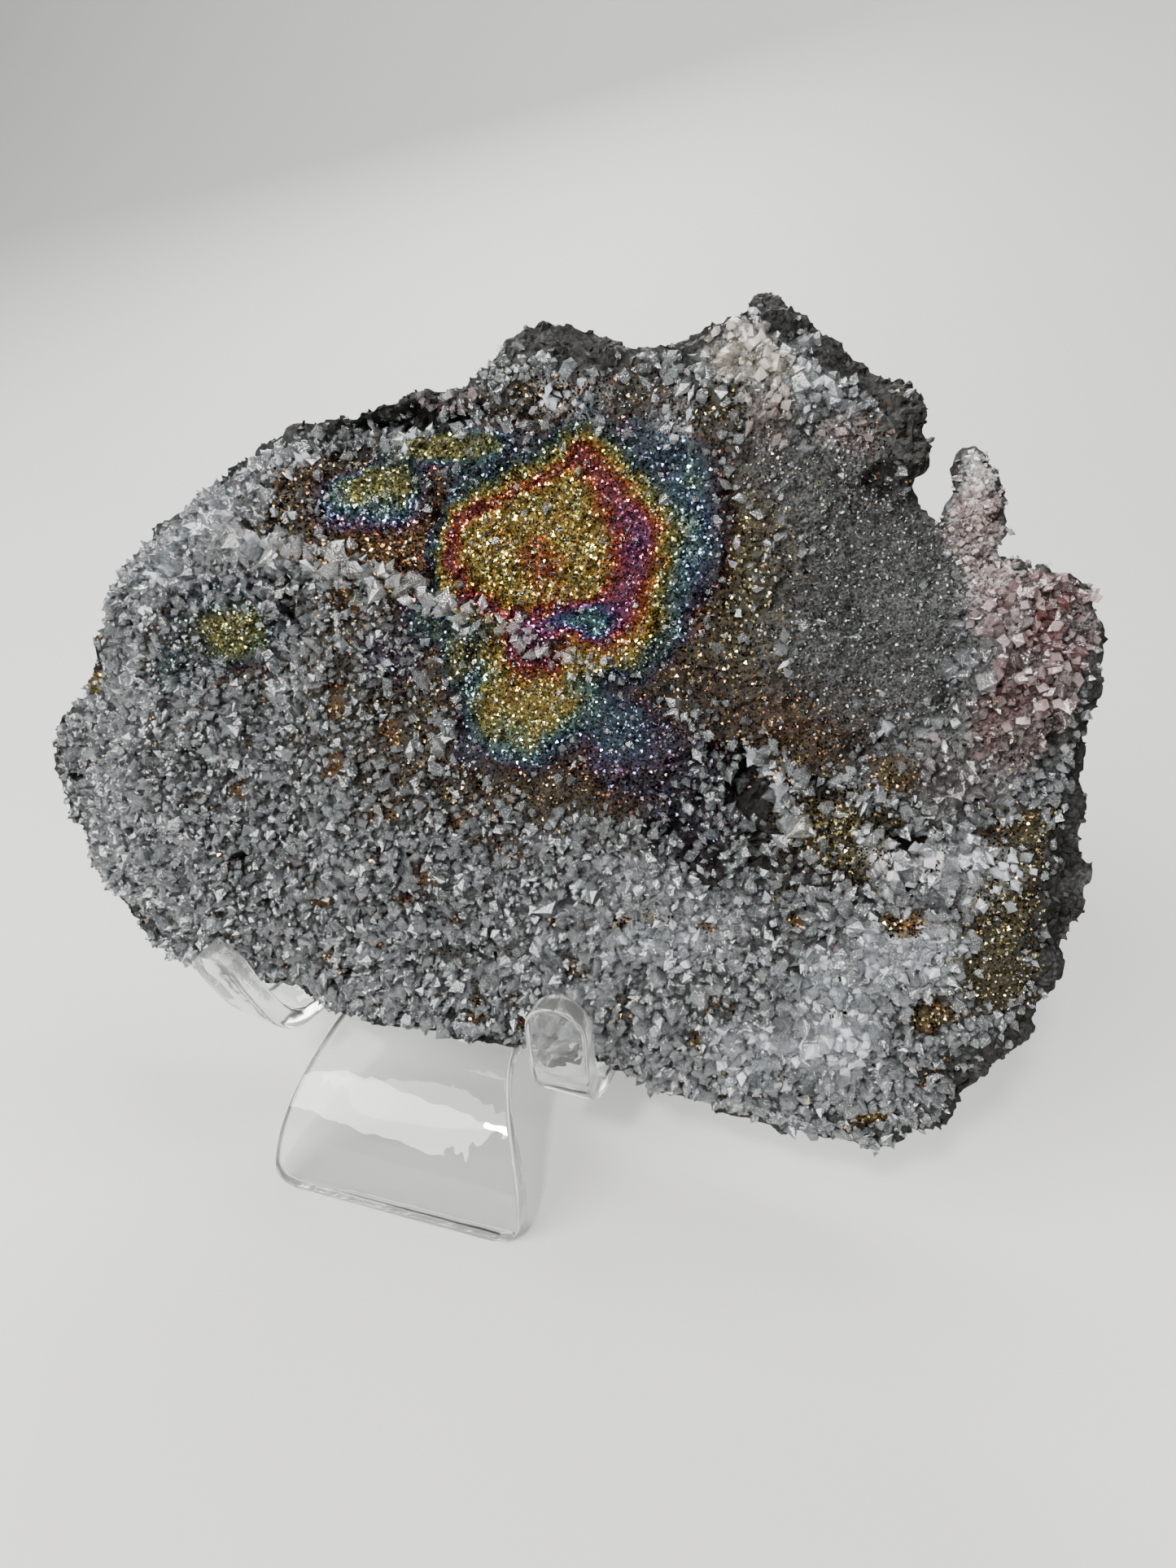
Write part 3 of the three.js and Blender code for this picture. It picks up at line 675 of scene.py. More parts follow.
class NodeBuilder:
    """A node tree, with short calls to add nodes to it."""

    def __init__(self, tree: bpy.types.NodeTree) -> None:
        """Takes the tree that the nodes go in."""
        self.tree = tree

    def add(self, kind: str, inputs: dict | None = None, **settings: object) -> bpy.types.Node:
        """Adds a node.

        Args:
            kind: The node's type.
            inputs: Socket name or number to a value, or to a socket that is linked to it.
            **settings: Properties of the node.

        Returns:
            The new node.
        """
        node = self.tree.nodes.new(kind)
        for key, value in settings.items():
            setattr(node, key, value)
        for key, value in (inputs or {}).items():
            self.feed(node.inputs[key], value)
        return node

    def feed(self, socket: Socket, value: object) -> None:
        """Links a socket to another one, or sets its value.

        Args:
            socket: The input.
            value: The other socket, or the value.
        """
        if isinstance(value, Socket):
            self.tree.links.new(value, socket)
        else:
            socket.default_value = value

    def maths(self, operation: str, *values: object, clamp: bool = False) -> Socket:
        """Works out one number from others."""
        node = self.add("ShaderNodeMath", dict(enumerate(values)), operation=operation, use_clamp=clamp)
        return node.outputs[0]


class Shader(NodeBuilder):
    """A material's node tree, which ends in one Principled surface."""

    def __init__(self, name: str) -> None:
        """Starts an empty material.

        Args:
            name: The material's name.
        """
        self.material = bpy.data.materials.new(name)
        self.material.use_nodes = True
        super().__init__(self.material.node_tree)
        self.surface = self.tree.nodes["Principled BSDF"]

    def dress(self, **inputs: object) -> None:
        """Sets or links inputs of the surface.

        Args:
            **inputs: Values or sockets by the input's name, with `_` for a space. A colour is a tuple.
        """
        for name, value in inputs.items():
            value = (*value, 1.0) if isinstance(value, tuple) else value
            self.feed(self.surface.inputs[name.replace("_", " ")], value)

    def attribute(self, name: str) -> Socket:
        """Reads a number stored on the mesh."""
        return self.add("ShaderNodeAttribute", attribute_name=name).outputs["Fac"]

    def place(self) -> Socket:
        """Reads the object's own coordinates."""
        return self.add("ShaderNodeTexCoord").outputs["Object"]

    def noise(self, per_mm: float, detail: float = 3.0, roughness: float = 0.55) -> Socket:
        """Gives noise with that many cells in a millimetre."""
        inputs = {"Vector": self.place(), "Scale": per_mm / MM, "Detail": detail, "Roughness": roughness}
        return self.add("ShaderNodeTexNoise", inputs).outputs["Fac"]

    def cells(self, per_mm: float) -> Socket:
        """Gives a random colour for each grain, with that many grains in a millimetre."""
        inputs = {"Vector": self.place(), "Scale": per_mm / MM}
        return self.add("ShaderNodeTexVoronoi", inputs).outputs["Color"]

    def grey(self, value: Socket) -> Socket:
        """Turns a number into a grey colour."""
        return self.add("ShaderNodeCombineColor", {0: value, 1: value, 2: value}).outputs[0]

    def scale(self, value: Socket, stops: Sequence[tuple[float, Colour]]) -> Socket:
        """Turns a number into a colour.

        Args:
            value: The number, from 0 to 1.
            stops: Places and their colours, in order.

        Returns:
            The colour.
        """
        node = self.add("ShaderNodeValToRGB", {"Fac": value})
        elements = node.color_ramp.elements
        while len(elements) < len(stops):
            elements.new(0.5)
        for element, (place, colour) in zip(elements, stops):
            element.position = place
            element.color = (*colour, 1.0)
        return node.outputs["Color"]

    def blend(self, share: object, first: object, second: object, mode: str = "MIX") -> Socket:
        """Mixes two colours.

        Args:
            share: How much of the second colour counts, as a number or a socket.
            first: The first colour, as a tuple or a socket.
            second: The second colour, likewise.
            mode: How they are mixed.

        Returns:
            The mixed colour.
        """
        node = self.add("ShaderNodeMix", data_type="RGBA", blend_type=mode)
        for index, value in ((0, share), (6, first), (7, second)):
            if isinstance(value, tuple):
                value = (*value, 1.0)
            self.feed(node.inputs[index], value)
        return node.outputs[2]

    def bump(self, height: Socket, strength: float, depth: float, **normal: Socket) -> Socket:
        """Turns heights into a tilted normal.

        Args:
            height: The heights, from 0 to 1.
            strength: How much of the relief shows.
            depth: The relief's depth, in millimetres.
            **normal: `Normal`, if the relief lies on a normal that is tilted already.

        Returns:
            The tilted normal.
        """
        inputs = {"Height": height, "Strength": strength, "Distance": depth * MM, **normal}
        return self.add("ShaderNodeBump", inputs).outputs[0]

    def faceted_normal(self, grains: Socket, tilt: float) -> Socket:
        """Tilts the surface's normal its own way in each grain.

        Args:
            grains: A random colour for each grain.
            tilt: How far the normals tilt.

        Returns:
            The tilted normal.
        """
        kind = "ShaderNodeVectorMath"
        centred = self.add(kind, {0: grains, 1: (0.5, 0.5, 0.5)}, operation="SUBTRACT").outputs[0]
        scaled = self.add(kind, {0: centred, "Scale": tilt}, operation="SCALE").outputs[0]
        normal = self.add("ShaderNodeNewGeometry").outputs["Normal"]
        summed = self.add(kind, {0: normal, 1: scaled}, operation="ADD").outputs[0]
        return self.add(kind, {0: summed}, operation="NORMALIZE").outputs[0]


def tarnish_stops(strength: float) -> list[tuple[float, Colour]]:
    """Gives the tarnish scale with its colours made stronger or darker."""
    return [(stop.film, tuple(strength * part for part in stop.colour)) for stop in Tarnish]


@dataclass(frozen=True)
class ChalcopyriteFinish:
    """Small metallic grains under a tarnish film."""

    strength: float = 1.15
    roughness: float = 0.20
    mixing: float = 0.085  # how far the film differs between neighbouring grains
    contrast: float = 4.0  # how few of the grains are bright
    # The grains' tone differs at random, but its bright tail is a painted glint far above white, and the many
    # dark grains paint shade on grains that catch no light.
    glint_peak: float = 3.8
    dullest: float = 0.08

    def build(self) -> bpy.types.Material:
        """Makes the material, which reads the film and each grain's own tone.

        Returns:
            The material.
        """
        shader = Shader("tarnished_chalcopyrite")
        tone = shader.attribute("tone")
        own = shader.maths("FRACT", shader.maths("MULTIPLY", tone, 13.0))  # a second random value
        own = shader.maths("SUBTRACT", own, 0.5)
        own_film = shader.maths("MULTIPLY_ADD", own, self.mixing, shader.attribute("film"))
        colour = shader.scale(own_film, tarnish_stops(self.strength))
        # Painted glints and shade: the tone spreads the grains from dark to far above white.
        tone = shader.maths("POWER", tone, self.contrast)
        tone = shader.maths("MULTIPLY_ADD", tone, self.glint_peak, self.dullest)
        tone = shader.maths("MULTIPLY", tone, shader.attribute("gleam"))
        colour = shader.blend(1.0, colour, shader.grey(tone), "MULTIPLY")
        shader.dress(Base_Color=colour, Metallic=1.0, Roughness=self.roughness)
        return shader.material


@dataclass(frozen=True)
class CalciteFinish:
    """Clear to milky calcite, grey where it is clear over the dark matrix."""

    name: str
    clear: Colour = (0.56, 0.595, 0.605)
    milky: Colour = (0.77, 0.81, 0.85)
    cream: Colour = (0.80, 0.74, 0.62)
    rosy_dark: Colour = (0.15, 0.055, 0.045)
    rosy_pale: Colour = (0.62, 0.46, 0.43)
    transmission: float = 0.94
    refraction: float = 1.66
    smoothest: float = 0.02
    roughest: float = 0.16
    whitening: float = 5.0  # how few of the crystals are white
    whitest: float = 0.9
    stepping: float = 0.6  # how far the growth steps on the faces turn the light
    step_depth: float = 0.28  # in millimetres

    def build(self) -> bpy.types.Material:
        """Makes the material, which reads how milky and how rosy each crystal is.

        Returns:
            The material.
        """
        shader = Shader(self.name)
        tone = shader.attribute("tone")
        white = shader.maths("POWER", tone, self.whitening)
        white = shader.maths("MULTIPLY_ADD", white, 0.8, shader.attribute("milk"))
        white = shader.maths("MULTIPLY", white, self.whitest, clamp=True)
        colour = shader.blend(white, self.clear, self.milky)
        colour = shader.blend(shader.attribute("cream"), colour, self.cream)
        rosy = shader.blend(shader.maths("POWER", tone, 1.5), self.rosy_dark, self.rosy_pale)
        colour = shader.blend(shader.attribute("rose"), colour, rosy)
        rough = shader.maths("POWER", tone, 3.0)
        rough = shader.maths("MULTIPLY_ADD", rough, self.roughest - self.smoothest, self.smoothest)
        shader.dress(
            Base_Color=colour,
            Roughness=rough,
            Transmission_Weight=self.transmission,
            IOR=self.refraction,
            Normal=shader.bump(shader.noise(1.7, 3.0, 0.6), self.stepping, self.step_depth),
        )
        return shader.material


@dataclass(frozen=True)
class MatrixFinish:
    """The dark matrix, its grown front and its broken sides and back."""

    dark: Colour = (0.0052, 0.0052, 0.0051)
    grey: Colour = (0.0195, 0.0198, 0.0195)
    brown: Colour = (0.0098, 0.0094, 0.0088)
    calcite: Colour = (0.13, 0.138, 0.138)
    white: Colour = (0.60, 0.62, 0.63)
    rosy: Colour = (0.055, 0.018, 0.016)
    # Painted shade: a near-black colour laid into the hollows.
    hollow_shade: Colour = (0.006, 0.0055, 0.005)  # in the hollows
    speckle: tuple[Colour, Colour] = ((0.55, 0.55, 0.55), (1.9, 1.9, 1.86))
    pepper: tuple[Colour, Colour] = ((0.4, 0.4, 0.4), (1.7, 1.7, 1.7))
    film_strength: float = 0.11
    metallic: float = 0.35
    gloss: float = 0.11
    grains_per_mm: float = 1.9
    grain_tilt: float = 0.55
    relief: float = 0.6  # in millimetres

    def build(self) -> bpy.types.Material:
        """Makes the material, which reads the mineral map from the mesh.

        Returns:
            The material.
        """
        shader = Shader("dark_matrix")
        front = shader.attribute("front")
        metal = shader.attribute("metal")
        mottled = shader.noise(0.12, 5.0, 0.62)
        stops = [(0.36, self.dark), (0.50, self.brown), (0.58, self.grey), (0.72, self.dark)]
        rock = shader.scale(mottled, stops)
        speckle = shader.scale(shader.noise(1.4, 2.0), list(zip((0.42, 0.66), self.speckle)))
        rock = shader.blend(1.0, rock, speckle, "MULTIPLY")
        ground = shader.blend(shader.attribute("milk"), self.calcite, self.white)
        ground = shader.blend(shader.attribute("rose"), ground, self.rosy)
        # The ground darkens by the shade field: mostly the matrix's own dark colour, plus painted shade in
        # the hollows.
        ground = shader.blend(shader.attribute("shade"), ground, self.dark)
        pepper = shader.scale(shader.noise(2.4, 2.0), list(zip((0.38, 0.62), self.pepper)))
        ground = shader.blend(1.0, ground, pepper, "MULTIPLY")
        colour = shader.blend(front, rock, ground)
        grains = shader.cells(self.grains_per_mm)
        film = shader.scale(shader.attribute("film"), tarnish_stops(self.film_strength))
        film = shader.blend(1.0, film, shader.grey(shader.attribute("gleam")), "MULTIPLY")
        share = shader.maths("MULTIPLY", metal, front)
        colour = shader.blend(share, colour, film)
        # Painted shade: the hollows are blended towards a near-black colour, on top of their carved depth.
        colour = shader.blend(shader.attribute("hollow"), colour, self.hollow_shade)
        shader.dress(Base_Color=colour, Metallic=shader.maths("MULTIPLY", share, self.metallic))
        grain_value = shader.add("ShaderNodeSeparateColor", {0: grains}).outputs[0]
        rough = shader.maths("MULTIPLY_ADD", grain_value, 0.35, 0.42)
        shader.dress(Roughness=rough, Specular_IOR_Level=self.gloss)
        height = shader.noise(0.9, 6.0, 0.7)
        faceted = shader.faceted_normal(grains, self.grain_tilt)
        shader.dress(Normal=shader.bump(height, 0.55, self.relief, Normal=faceted))
        return shader.material


@dataclass(frozen=True)
class GritFinish:
    """Angular grains of the broken matrix."""

    dark: Colour = (0.0050, 0.0051, 0.0050)
    pale: Colour = (0.0265, 0.0265, 0.0255)
    gloss: float = 0.22

    def build(self) -> bpy.types.Material:
        """Makes the material, with each grain's own tone.

        Returns:
            The material.
        """
        shader = Shader("matrix_grit")
        tone = shader.maths("POWER", shader.attribute("tone"), 2.2)
        shader.dress(Base_Color=shader.blend(tone, self.dark, self.pale))
        rough = shader.maths("MULTIPLY_ADD", shader.attribute("tone"), -0.40, 0.80)
        shader.dress(Roughness=rough, Specular_IOR_Level=self.gloss)
        return shader.material


@dataclass(frozen=True)
class FaceLook:
    """How one kind of face of the easel was left, with marks of some size on it."""

    roughness: float
    passed: float  # the share of light that it lets through
    marks_per_mm: float = 0.45
    detail: float = 3.0
    mark_depth: float = 0.5  # in millimetres


class AcrylicSurface(Enum):
    """The easel's faces. The polished ones have faint waves from the heat, the others finer marks."""

    POLISHED = FaceLook(0.012, 1.0, 0.09, 2.0, 0.9)
    # The flamed edges pass only part of the light; the rest shows as a whitish diffuse colour, a painted
    # highlight along the edges.
    FLAMED_BRIGHT_EDGE = FaceLook(0.08, 0.70)
    SAWN = FaceLook(0.16, 0.95)


@dataclass(frozen=True)
class AcrylicFinish:
    """Clear acrylic, polished on its faces or left as it was sawn."""

    surface: AcrylicSurface
    refraction: float = 1.49
    tint: Colour = (0.985, 0.992, 0.99)
    marks: float = 0.35

    def build(self) -> bpy.types.Material:
        """Makes the material, with the faint waves that heat leaves or the marks of the saw.

        Returns:
            The material.
        """
        look = self.surface.value
        shader = Shader(f"acrylic_{self.surface.name.lower()}")
        shader.dress(
            Base_Color=self.tint,
            Transmission_Weight=look.passed,
            IOR=self.refraction,
            Roughness=look.roughness,
            Normal=shader.bump(shader.noise(look.marks_per_mm, look.detail), self.marks, look.mark_depth),
        )
        return shader.material


class Finish(Enum):
    """The finishes that the coats of crystals share."""

    CALCITE = CalciteFinish("calcite")
    MILKY = CalciteFinish(
        "milky_calcite", clear=(0.32, 0.345, 0.365), milky=(0.86, 0.90, 0.94), transmission=0.66
    )
    OVER_DARK = CalciteFinish(
        "calcite_over_dark", clear=(0.055, 0.055, 0.052), milky=(0.40, 0.40, 0.39), whitening=1.5
    )
    ROSY = CalciteFinish(
        "rosy_calcite", clear=(0.20, 0.16, 0.15), rosy_dark=(0.14, 0.038, 0.040),
        rosy_pale=(0.84, 0.62, 0.605), transmission=0.74, roughest=0.28,
    )
    RIDGE = CalciteFinish("ridge_calcite", clear=(0.66, 0.68, 0.68), milky=(0.88, 0.89, 0.89), whitening=1.5)
    METAL = ChalcopyriteFinish()
    GRIT = GritFinish()


# ---------------------------------------------------------------------------------------------
# Mesh help
# ---------------------------------------------------------------------------------------------


def make_object(name: str, mesh: bpy.types.Mesh) -> bpy.types.Object:
    """Puts a mesh in the scene as an object at the origin.

    Args:
        name: The object's name.
        mesh: The mesh.

    Returns:
        The object.
    """
    piece = bpy.data.objects.new(name, mesh)
    bpy.context.scene.collection.objects.link(piece)
    return piece


def closed_object(name: str, points: Sequence, faces: Sequence) -> bpy.types.Object:
    """Makes an object from points and faces, and turns its faces outwards.

    Args:
        name: The object's name.
        points: Its points, in scene units.
        faces: Its faces, as numbers of points.

    Returns:
        The object.
    """
    mesh = bpy.data.meshes.new(name)
    mesh.from_pydata(points, [], faces)
    work = bmesh.new()
    work.from_mesh(mesh)
    bmesh.ops.recalc_face_normals(work, faces=work.faces)
    return make_object(name, written(work, mesh))


def written(work: bmesh.types.BMesh, mesh: bpy.types.Mesh) -> bpy.types.Mesh:
    """Writes edited faces to a mesh and frees the edit.

    Args:
        work: The edit.
        mesh: The mesh that takes it.

    Returns:
        The mesh.
    """
    work.to_mesh(mesh)
    work.free()
    return mesh


def read_each(items: object, name: str, width: int = 1, kind: type = float) -> Array:
    """Reads one property of every point, face or value of a mesh.

    Args:
        items: The points, faces or values.
        name: The property.
        width: How many numbers it holds for each item.
        kind: The type of the numbers.

    Returns:
        One row for each item, or one number each if the width is 1.
    """
    flat = np.empty(len(items) * width, dtype=kind)
    items.foreach_get(name, flat)
    return flat.reshape(-1, width) if width > 1 else flat


def read_points(mesh: bpy.types.Mesh) -> Array:
    """Gives a mesh's points, one row each."""
    return read_each(mesh.vertices, "co", 3)


def write_points(mesh: bpy.types.Mesh, points: Array) -> None:
    """Moves a mesh's points."""
    mesh.vertices.foreach_set("co", points.ravel())
    mesh.update()


def store(mesh: bpy.types.Mesh, name: str, values: Array) -> None:
    """Stores one number for each point of a mesh."""
    attribute = mesh.attributes.new(name, "FLOAT", "POINT")
    attribute.data.foreach_set("value", values.astype(np.float32))


def evaluated_copy(piece: bpy.types.Object, name: str) -> bpy.types.Mesh:
    """Works out an object's modifiers.

    Args:
        piece: The object.
        name: The new mesh's name.

    Returns:
        A plain mesh of the result.
    """
    depsgraph = bpy.context.evaluated_depsgraph_get()
    depsgraph.update()
    mesh = bpy.data.meshes.new_from_object(piece.evaluated_get(depsgraph))
    mesh.name = name
    return mesh


def drop_crumbs(mesh: bpy.types.Mesh, smallest: int = 200) -> None:
    """Removes loose bits of a mesh.

    Args:
        mesh: The mesh.
        smallest: Fewest points that a part needs to stay.
    """
    work = bmesh.new()
    work.from_mesh(mesh)
    seen: set[int] = set()
    loose = []
    for start in work.verts:
        if start.index in seen:
            continue
        seen.add(start.index)
        part, open_ends = [start], [start]
        while open_ends:
            for edge in open_ends.pop().link_edges:
                for other in edge.verts:
                    if other.index not in seen:
                        seen.add(other.index)
                        part.append(other)
                        open_ends.append(other)
        if len(part) < smallest:
            loose += part
    bmesh.ops.delete(work, geom=loose, context="VERTS")
    written(work, mesh)


def one_finish(mesh: bpy.types.Mesh, finish: bpy.types.Material) -> None:
    """Gives every face of a mesh the same material.

    Args:
        mesh: The mesh.
        finish: The material.
    """
    mesh.materials.clear()
    mesh.materials.append(finish)
    mesh.polygons.foreach_set("material_index", np.zeros(len(mesh.polygons), dtype=np.int32))


def keep_in_box(mesh: bpy.types.Mesh, node: str) -> None:
    """Holds every point of a mesh within a node's own box."""
    low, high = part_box(node)
    write_points(mesh, np.clip(read_points(mesh), np.array(low), np.array(high)))


def register(piece: bpy.types.Object) -> None:
    """Ties a finished piece to the object's body and logs its triangles.

    Args:
        piece: The piece.
    """
    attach(piece, BODY)
    corners = read_each(piece.data.polygons, "loop_total", kind=np.int32)
    log.info("%s: %d triangles", piece.name, int((corners - 2).sum()))


# ---------------------------------------------------------------------------------------------
# The matrix
# ---------------------------------------------------------------------------------------------


@dataclass
class Matrix:
    """The slab under the crystals, finely broken and slightly inside the solid's surface.

    Sizes are in millimetres.
    """

    voxel: float = 0.94  # width of one face of the fine mesh
    inset: float = 1.25  # how far the grown front lies inside the tips of its crystals
    rock_inset: float = 0.35
    rock_relief: float = 0.9
    druse_relief: float = 0.45
    highest: float = 0.15  # furthest that a point rises out of the solid
    hollow_depth: float = 6.5
    vein_lift: float = 1.3
    stand_clearance: float = 0.6  # nothing grows where the easel is nearer
    full_room: float = 3.0  # distance to the easel from which crystals grow to their full size
    stand_reach: float = 4.0
    edge_warp: Warp = Warp(2.2, 8.0, 101)
    raggedness: Blotches = Blotches(3.5, 171, -0.55, 0.05)
    pitting: Blotches = Blotches(4.5, 181, 0.34, 0.60)
    cloudiness: Blotches = Blotches(8.0, 131, -0.35, 0.45)
    specks: Blotches = Blotches(4.0, 191, 0.19, 0.42)
    spark_fields: Blotches = Blotches(14.0, 151, 0.15, 0.7)

    def build(self) -> bpy.types.Object:
        """Makes the slab's mesh and stores the mineral map on it.

        Returns:
            The slab as an object.
        """
        mesh = self.remeshed(frame["nodes"][SPECIMEN_NODE])
        points = read_points(mesh)
        normals = read_each(mesh.vertex_normals, "vector", 3)
        self.map_minerals(mesh, points, normals)
        write_points(mesh, self.broken(points, normals, mesh))
        self.measure_room(mesh)
        mesh.shade_flat()
        keep_in_box(mesh, SPECIMEN_NODE)
        return make_object("specimen_matrix", mesh)

    def remeshed(self, node: bpy.types.Object) -> bpy.types.Mesh:
        """Copies a solid as an even mesh of small faces.

        Args:
            node: The solid, which stays as it is.

        Returns:
            The even mesh.
        """
        work = bmesh.new()
        work.from_mesh(node.data)
        bmesh.ops.remove_doubles(work, verts=work.verts, dist=0.001 * MM)
        rough = make_object("rough_slab", written(work, bpy.data.meshes.new("merged")))
        remesh = rough.modifiers.new("even", "REMESH")
        remesh.mode = "VOXEL"
        remesh.voxel_size = self.voxel * MM
        mesh = evaluated_copy(rough, "specimen_matrix")
        bpy.data.objects.remove(rough)
        drop_crumbs(mesh)
        return mesh

    def map_minerals(self, mesh: bpy.types.Mesh, points: Array, normals: Array) -> None:
        """Stores what grows at each point and how the ground looks there.

        Args:
            mesh: The slab's mesh.
            points: Its points, before they are broken up.
            normals: The normals there.
        """
        across, up, _ = SLAB.read(points)
        mm = points / MM
        face = self.edge_warp.bend(mm, across, up)
        facing = normals @ SLAB.outward
        turned = smooth_step(facing, -0.6, -0.15)  # 0 on faces that look away
        # Zones of the map, on the grown front alone.
        bare = strongest(MAP.bare, *face)
        front = MAP.front(points, normals) * (1.0 - bare)
        metal = MAP.metal_cover(points) * front
        fine = strongest(MAP.fine, *face) * front
        white = strongest(MAP.white, *face) * front
        rose = strongest(MAP.pink, *face) * np.maximum(front, 0.4)
        pale = strongest(MAP.pale, *face) * np.maximum(front, 0.6)
        dusting = strongest(MAP.glitter_field, *face) * front
        dusted = np.maximum(metal, dusting)
        vein = MAP.vein_cover(*face) * front
        vein = vein * smooth_step(layered_noise(mm, 6.5, 201) + 0.012 * (25.0 - across), -0.40, 0.15)
        # Hollows and pits are carved in `broken`, and their ground gets painted shade through `shade` and
        # `hollow`.
        pits = 0.7 * self.pitting.at(mm) * (1.0 - 0.7 * metal) * (1.0 - 0.9 * fine)
        hollow = strongest(MAP.hollows, *face) * (0.25 + 0.75 * self.raggedness.at(mm))
        hollow = np.maximum(hollow, pits)
        specks = front * self.specks.at(mm) * smooth_step(up, 90, 70)
        cloudy = self.cloudiness.at(mm)
        # What the metal, the hollows and the specks leave free for calcite.
        crowded = dusted - 0.30 * layered_noise(mm, 7.0, 121)
        free = front * (1.0 - 0.93 * smooth_step(crowded, 0.30, 0.75)) * (1.0 - 0.97 * hollow)
        free = free * (1.0 - smooth_step(metal, 0.5, 0.9))
        free = free * (1.0 - 0.6 * specks)
        milk = 0.02 + 0.20 * cloudy + white * (0.34 + 0.52 * cloudy) + 0.60 * vein + 0.45 * pale
        blush = rose * (0.80 + 0.5 * layered_noise(mm, 5.0, 141))
        blush = np.maximum(blush, 0.75 * pale * smooth_step(up, 125, 115))
        # How dark the ground is: the matrix's own dark colour, lighter under white, rosy and pale crusts,
        # with painted shade added in the hollows.
        shade = 0.95 - 0.5 * white - 0.55 * rose - 0.8 * pale + 0.6 * hollow - 0.06 * fine
        # Crystals are longer in the middle of the front, low down, along the ridge and where marked.
        vigour = 0.62 + 0.38 * smooth_step(facing, 0.25, 0.75)
        vigour = vigour * (
            1.0 + 0.34 * layered_noise(mm, 9.0, 161) + 0.15 * white + 0.12 * smooth_step(up, 55, 0)
        )
        vigour = vigour * (1.0 + 0.45 * vein * smooth_step(across, 5.0, -15.0))
        vigour = vigour * (1.0 + sum(patch.swell(across, up) for patch in MAP.strong))
        milky = white * (0.35 + 0.65 * cloudy) * (1.0 - 0.7 * metal) + 0.05 * free * (1.0 - fine)
        crust = np.where(rose > 0.25, rose, 0.0) * (1.0 - 0.8 * bare) * (1.0 - pale)
        crust = crust * (0.25 + 0.75 * smooth_step(up, 80, 92))
        glitter = np.maximum.reduce([metal, 0.80 * dusting, 0.60 * specks])
        cream = sum(patch.cover(*face) for patch in MAP.cream)
        sparks = front * (0.08 + 0.30 * self.spark_fields.at(mm)) * (1.0 - 0.6 * fine)
        fields = {
            "front": front,
            "metal": np.maximum(metal, 0.75 * dusting) * (1.0 - 0.8 * fine),
            "film": MAP.film(points),
            "gleam": MAP.gleam(*face),
            "milk": np.clip(milk, 0.0, 1.0),
            "rose": np.clip(blush, 0.0, 1.0),
            "shade": np.clip(shade, 0.0, 1.0),
            "vigour": vigour,
            "coarse_druse": free * (1.0 - fine) * (1.0 - 0.7 * rose) * (1.0 - pale),
            "small_druse": np.clip(free + 0.05 * dusted, 0.0, 1.0) * (1.0 - 0.95 * fine) * (1.0 - pale),
            "fine_druse": np.clip(fine * (1.0 - 0.55 * metal) + 0.22 * dusting, 0.0, 1.0),
            "milky_druse": np.clip(milky, 0.0, 1.0),
            "pale_crust": pale * (1.0 - bare) * turned,
            "vein_druse": vein,
            "crust": crust * turned,
            "glitter": glitter * (1.0 - 0.5 * hollow) * (1.0 - 0.72 * fine),
            "cream": np.clip(cream + 0.45 * pale, 0.0, 1.0),
            "sparks": 0.9 * (MAP.knob.cover(across, up) * turned) + sparks,
            "grit": (1.0 - front) * np.where(facing > -0.35, 1.0, 0.45),
            "hollow": hollow * front,
        }
        for name, values in fields.items():
            store(mesh, name, values)

    def broken(self, points: Array, normals: Array, mesh: bpy.types.Mesh) -> Array:
        """Breaks the even surface up.

        Args:
            points: The points of the even surface.
            normals: The normals there.
            mesh: The mesh that holds the mineral map.

        Returns:
            The moved points.
        """
        fields = (mesh.attributes[name].data for name in ("front", "hollow", "vein_druse"))
        front, hollow, vein = (read_each(values, "value") for values in fields)
        mm = points / MM
        rock = self.rock_relief * (0.6 * facet_noise(mm, 7.0, 201) + 0.5 * facet_noise(mm, 2.6, 211))
        druse = self.druse_relief * (facet_noise(mm, 2.0, 221) + layered_noise(mm, 5.0, 231))
        lift = front * (druse - self.inset) + (1.0 - front) * (rock - self.rock_inset) + self.vein_lift * vein
        lift = np.minimum(lift, self.highest)
        moved = points + normals * (lift * MM)[:, None]
        pit = self.hollow_depth * hollow * (0.75 + 0.35 * layered_noise(mm, 3.0, 241))
        return moved - SLAB.outward * (pit * MM)[:, None]

    def measure_room(self, mesh: bpy.types.Mesh) -> None:
        """Stores how much of a crystal fits between the slab and the easel, from 0 to 1.

        Args:
            mesh: The slab's mesh.
        """
        easel = frame["nodes"][EASEL_NODE].data
        easel.calc_loop_triangles()
        corners = [vertex.co for vertex in easel.vertices]
        tree = BVHTree.FromPolygons(corners, [tuple(face.vertices) for face in easel.loop_triangles])
        reach = self.stand_reach * MM
        points = read_points(mesh)
        gaps = np.full(len(points), reach)
        low, high = (np.array(corner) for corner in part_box(EASEL_NODE))
        near = np.flatnonzero(np.all((points > low - reach) & (points < high + reach), axis=1))
        for index in near:
            distance = tree.find_nearest(Vector(points[index]), reach)[3]
            if distance is not None:
                gaps[index] = distance
        store(mesh, "room", smooth_step(gaps / MM, self.stand_clearance, self.full_room))

    def dress(self, piece: bpy.types.Object) -> None:
        """Gives the slab its finish and its place in the object.

        Args:
            piece: The slab.
        """
        one_finish(piece.data, MatrixFinish().build())
        register(piece)
        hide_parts(SPECIMEN_NODE)


# ---------------------------------------------------------------------------------------------
# Single crystals
# ---------------------------------------------------------------------------------------------


@dataclass(frozen=True)
class Habit:
    """A crystal's shape at unit length, standing up along Z with its root below the origin."""

    points: tuple[tuple[float, float, float], ...]
    faces: tuple[tuple[int, ...], ...]


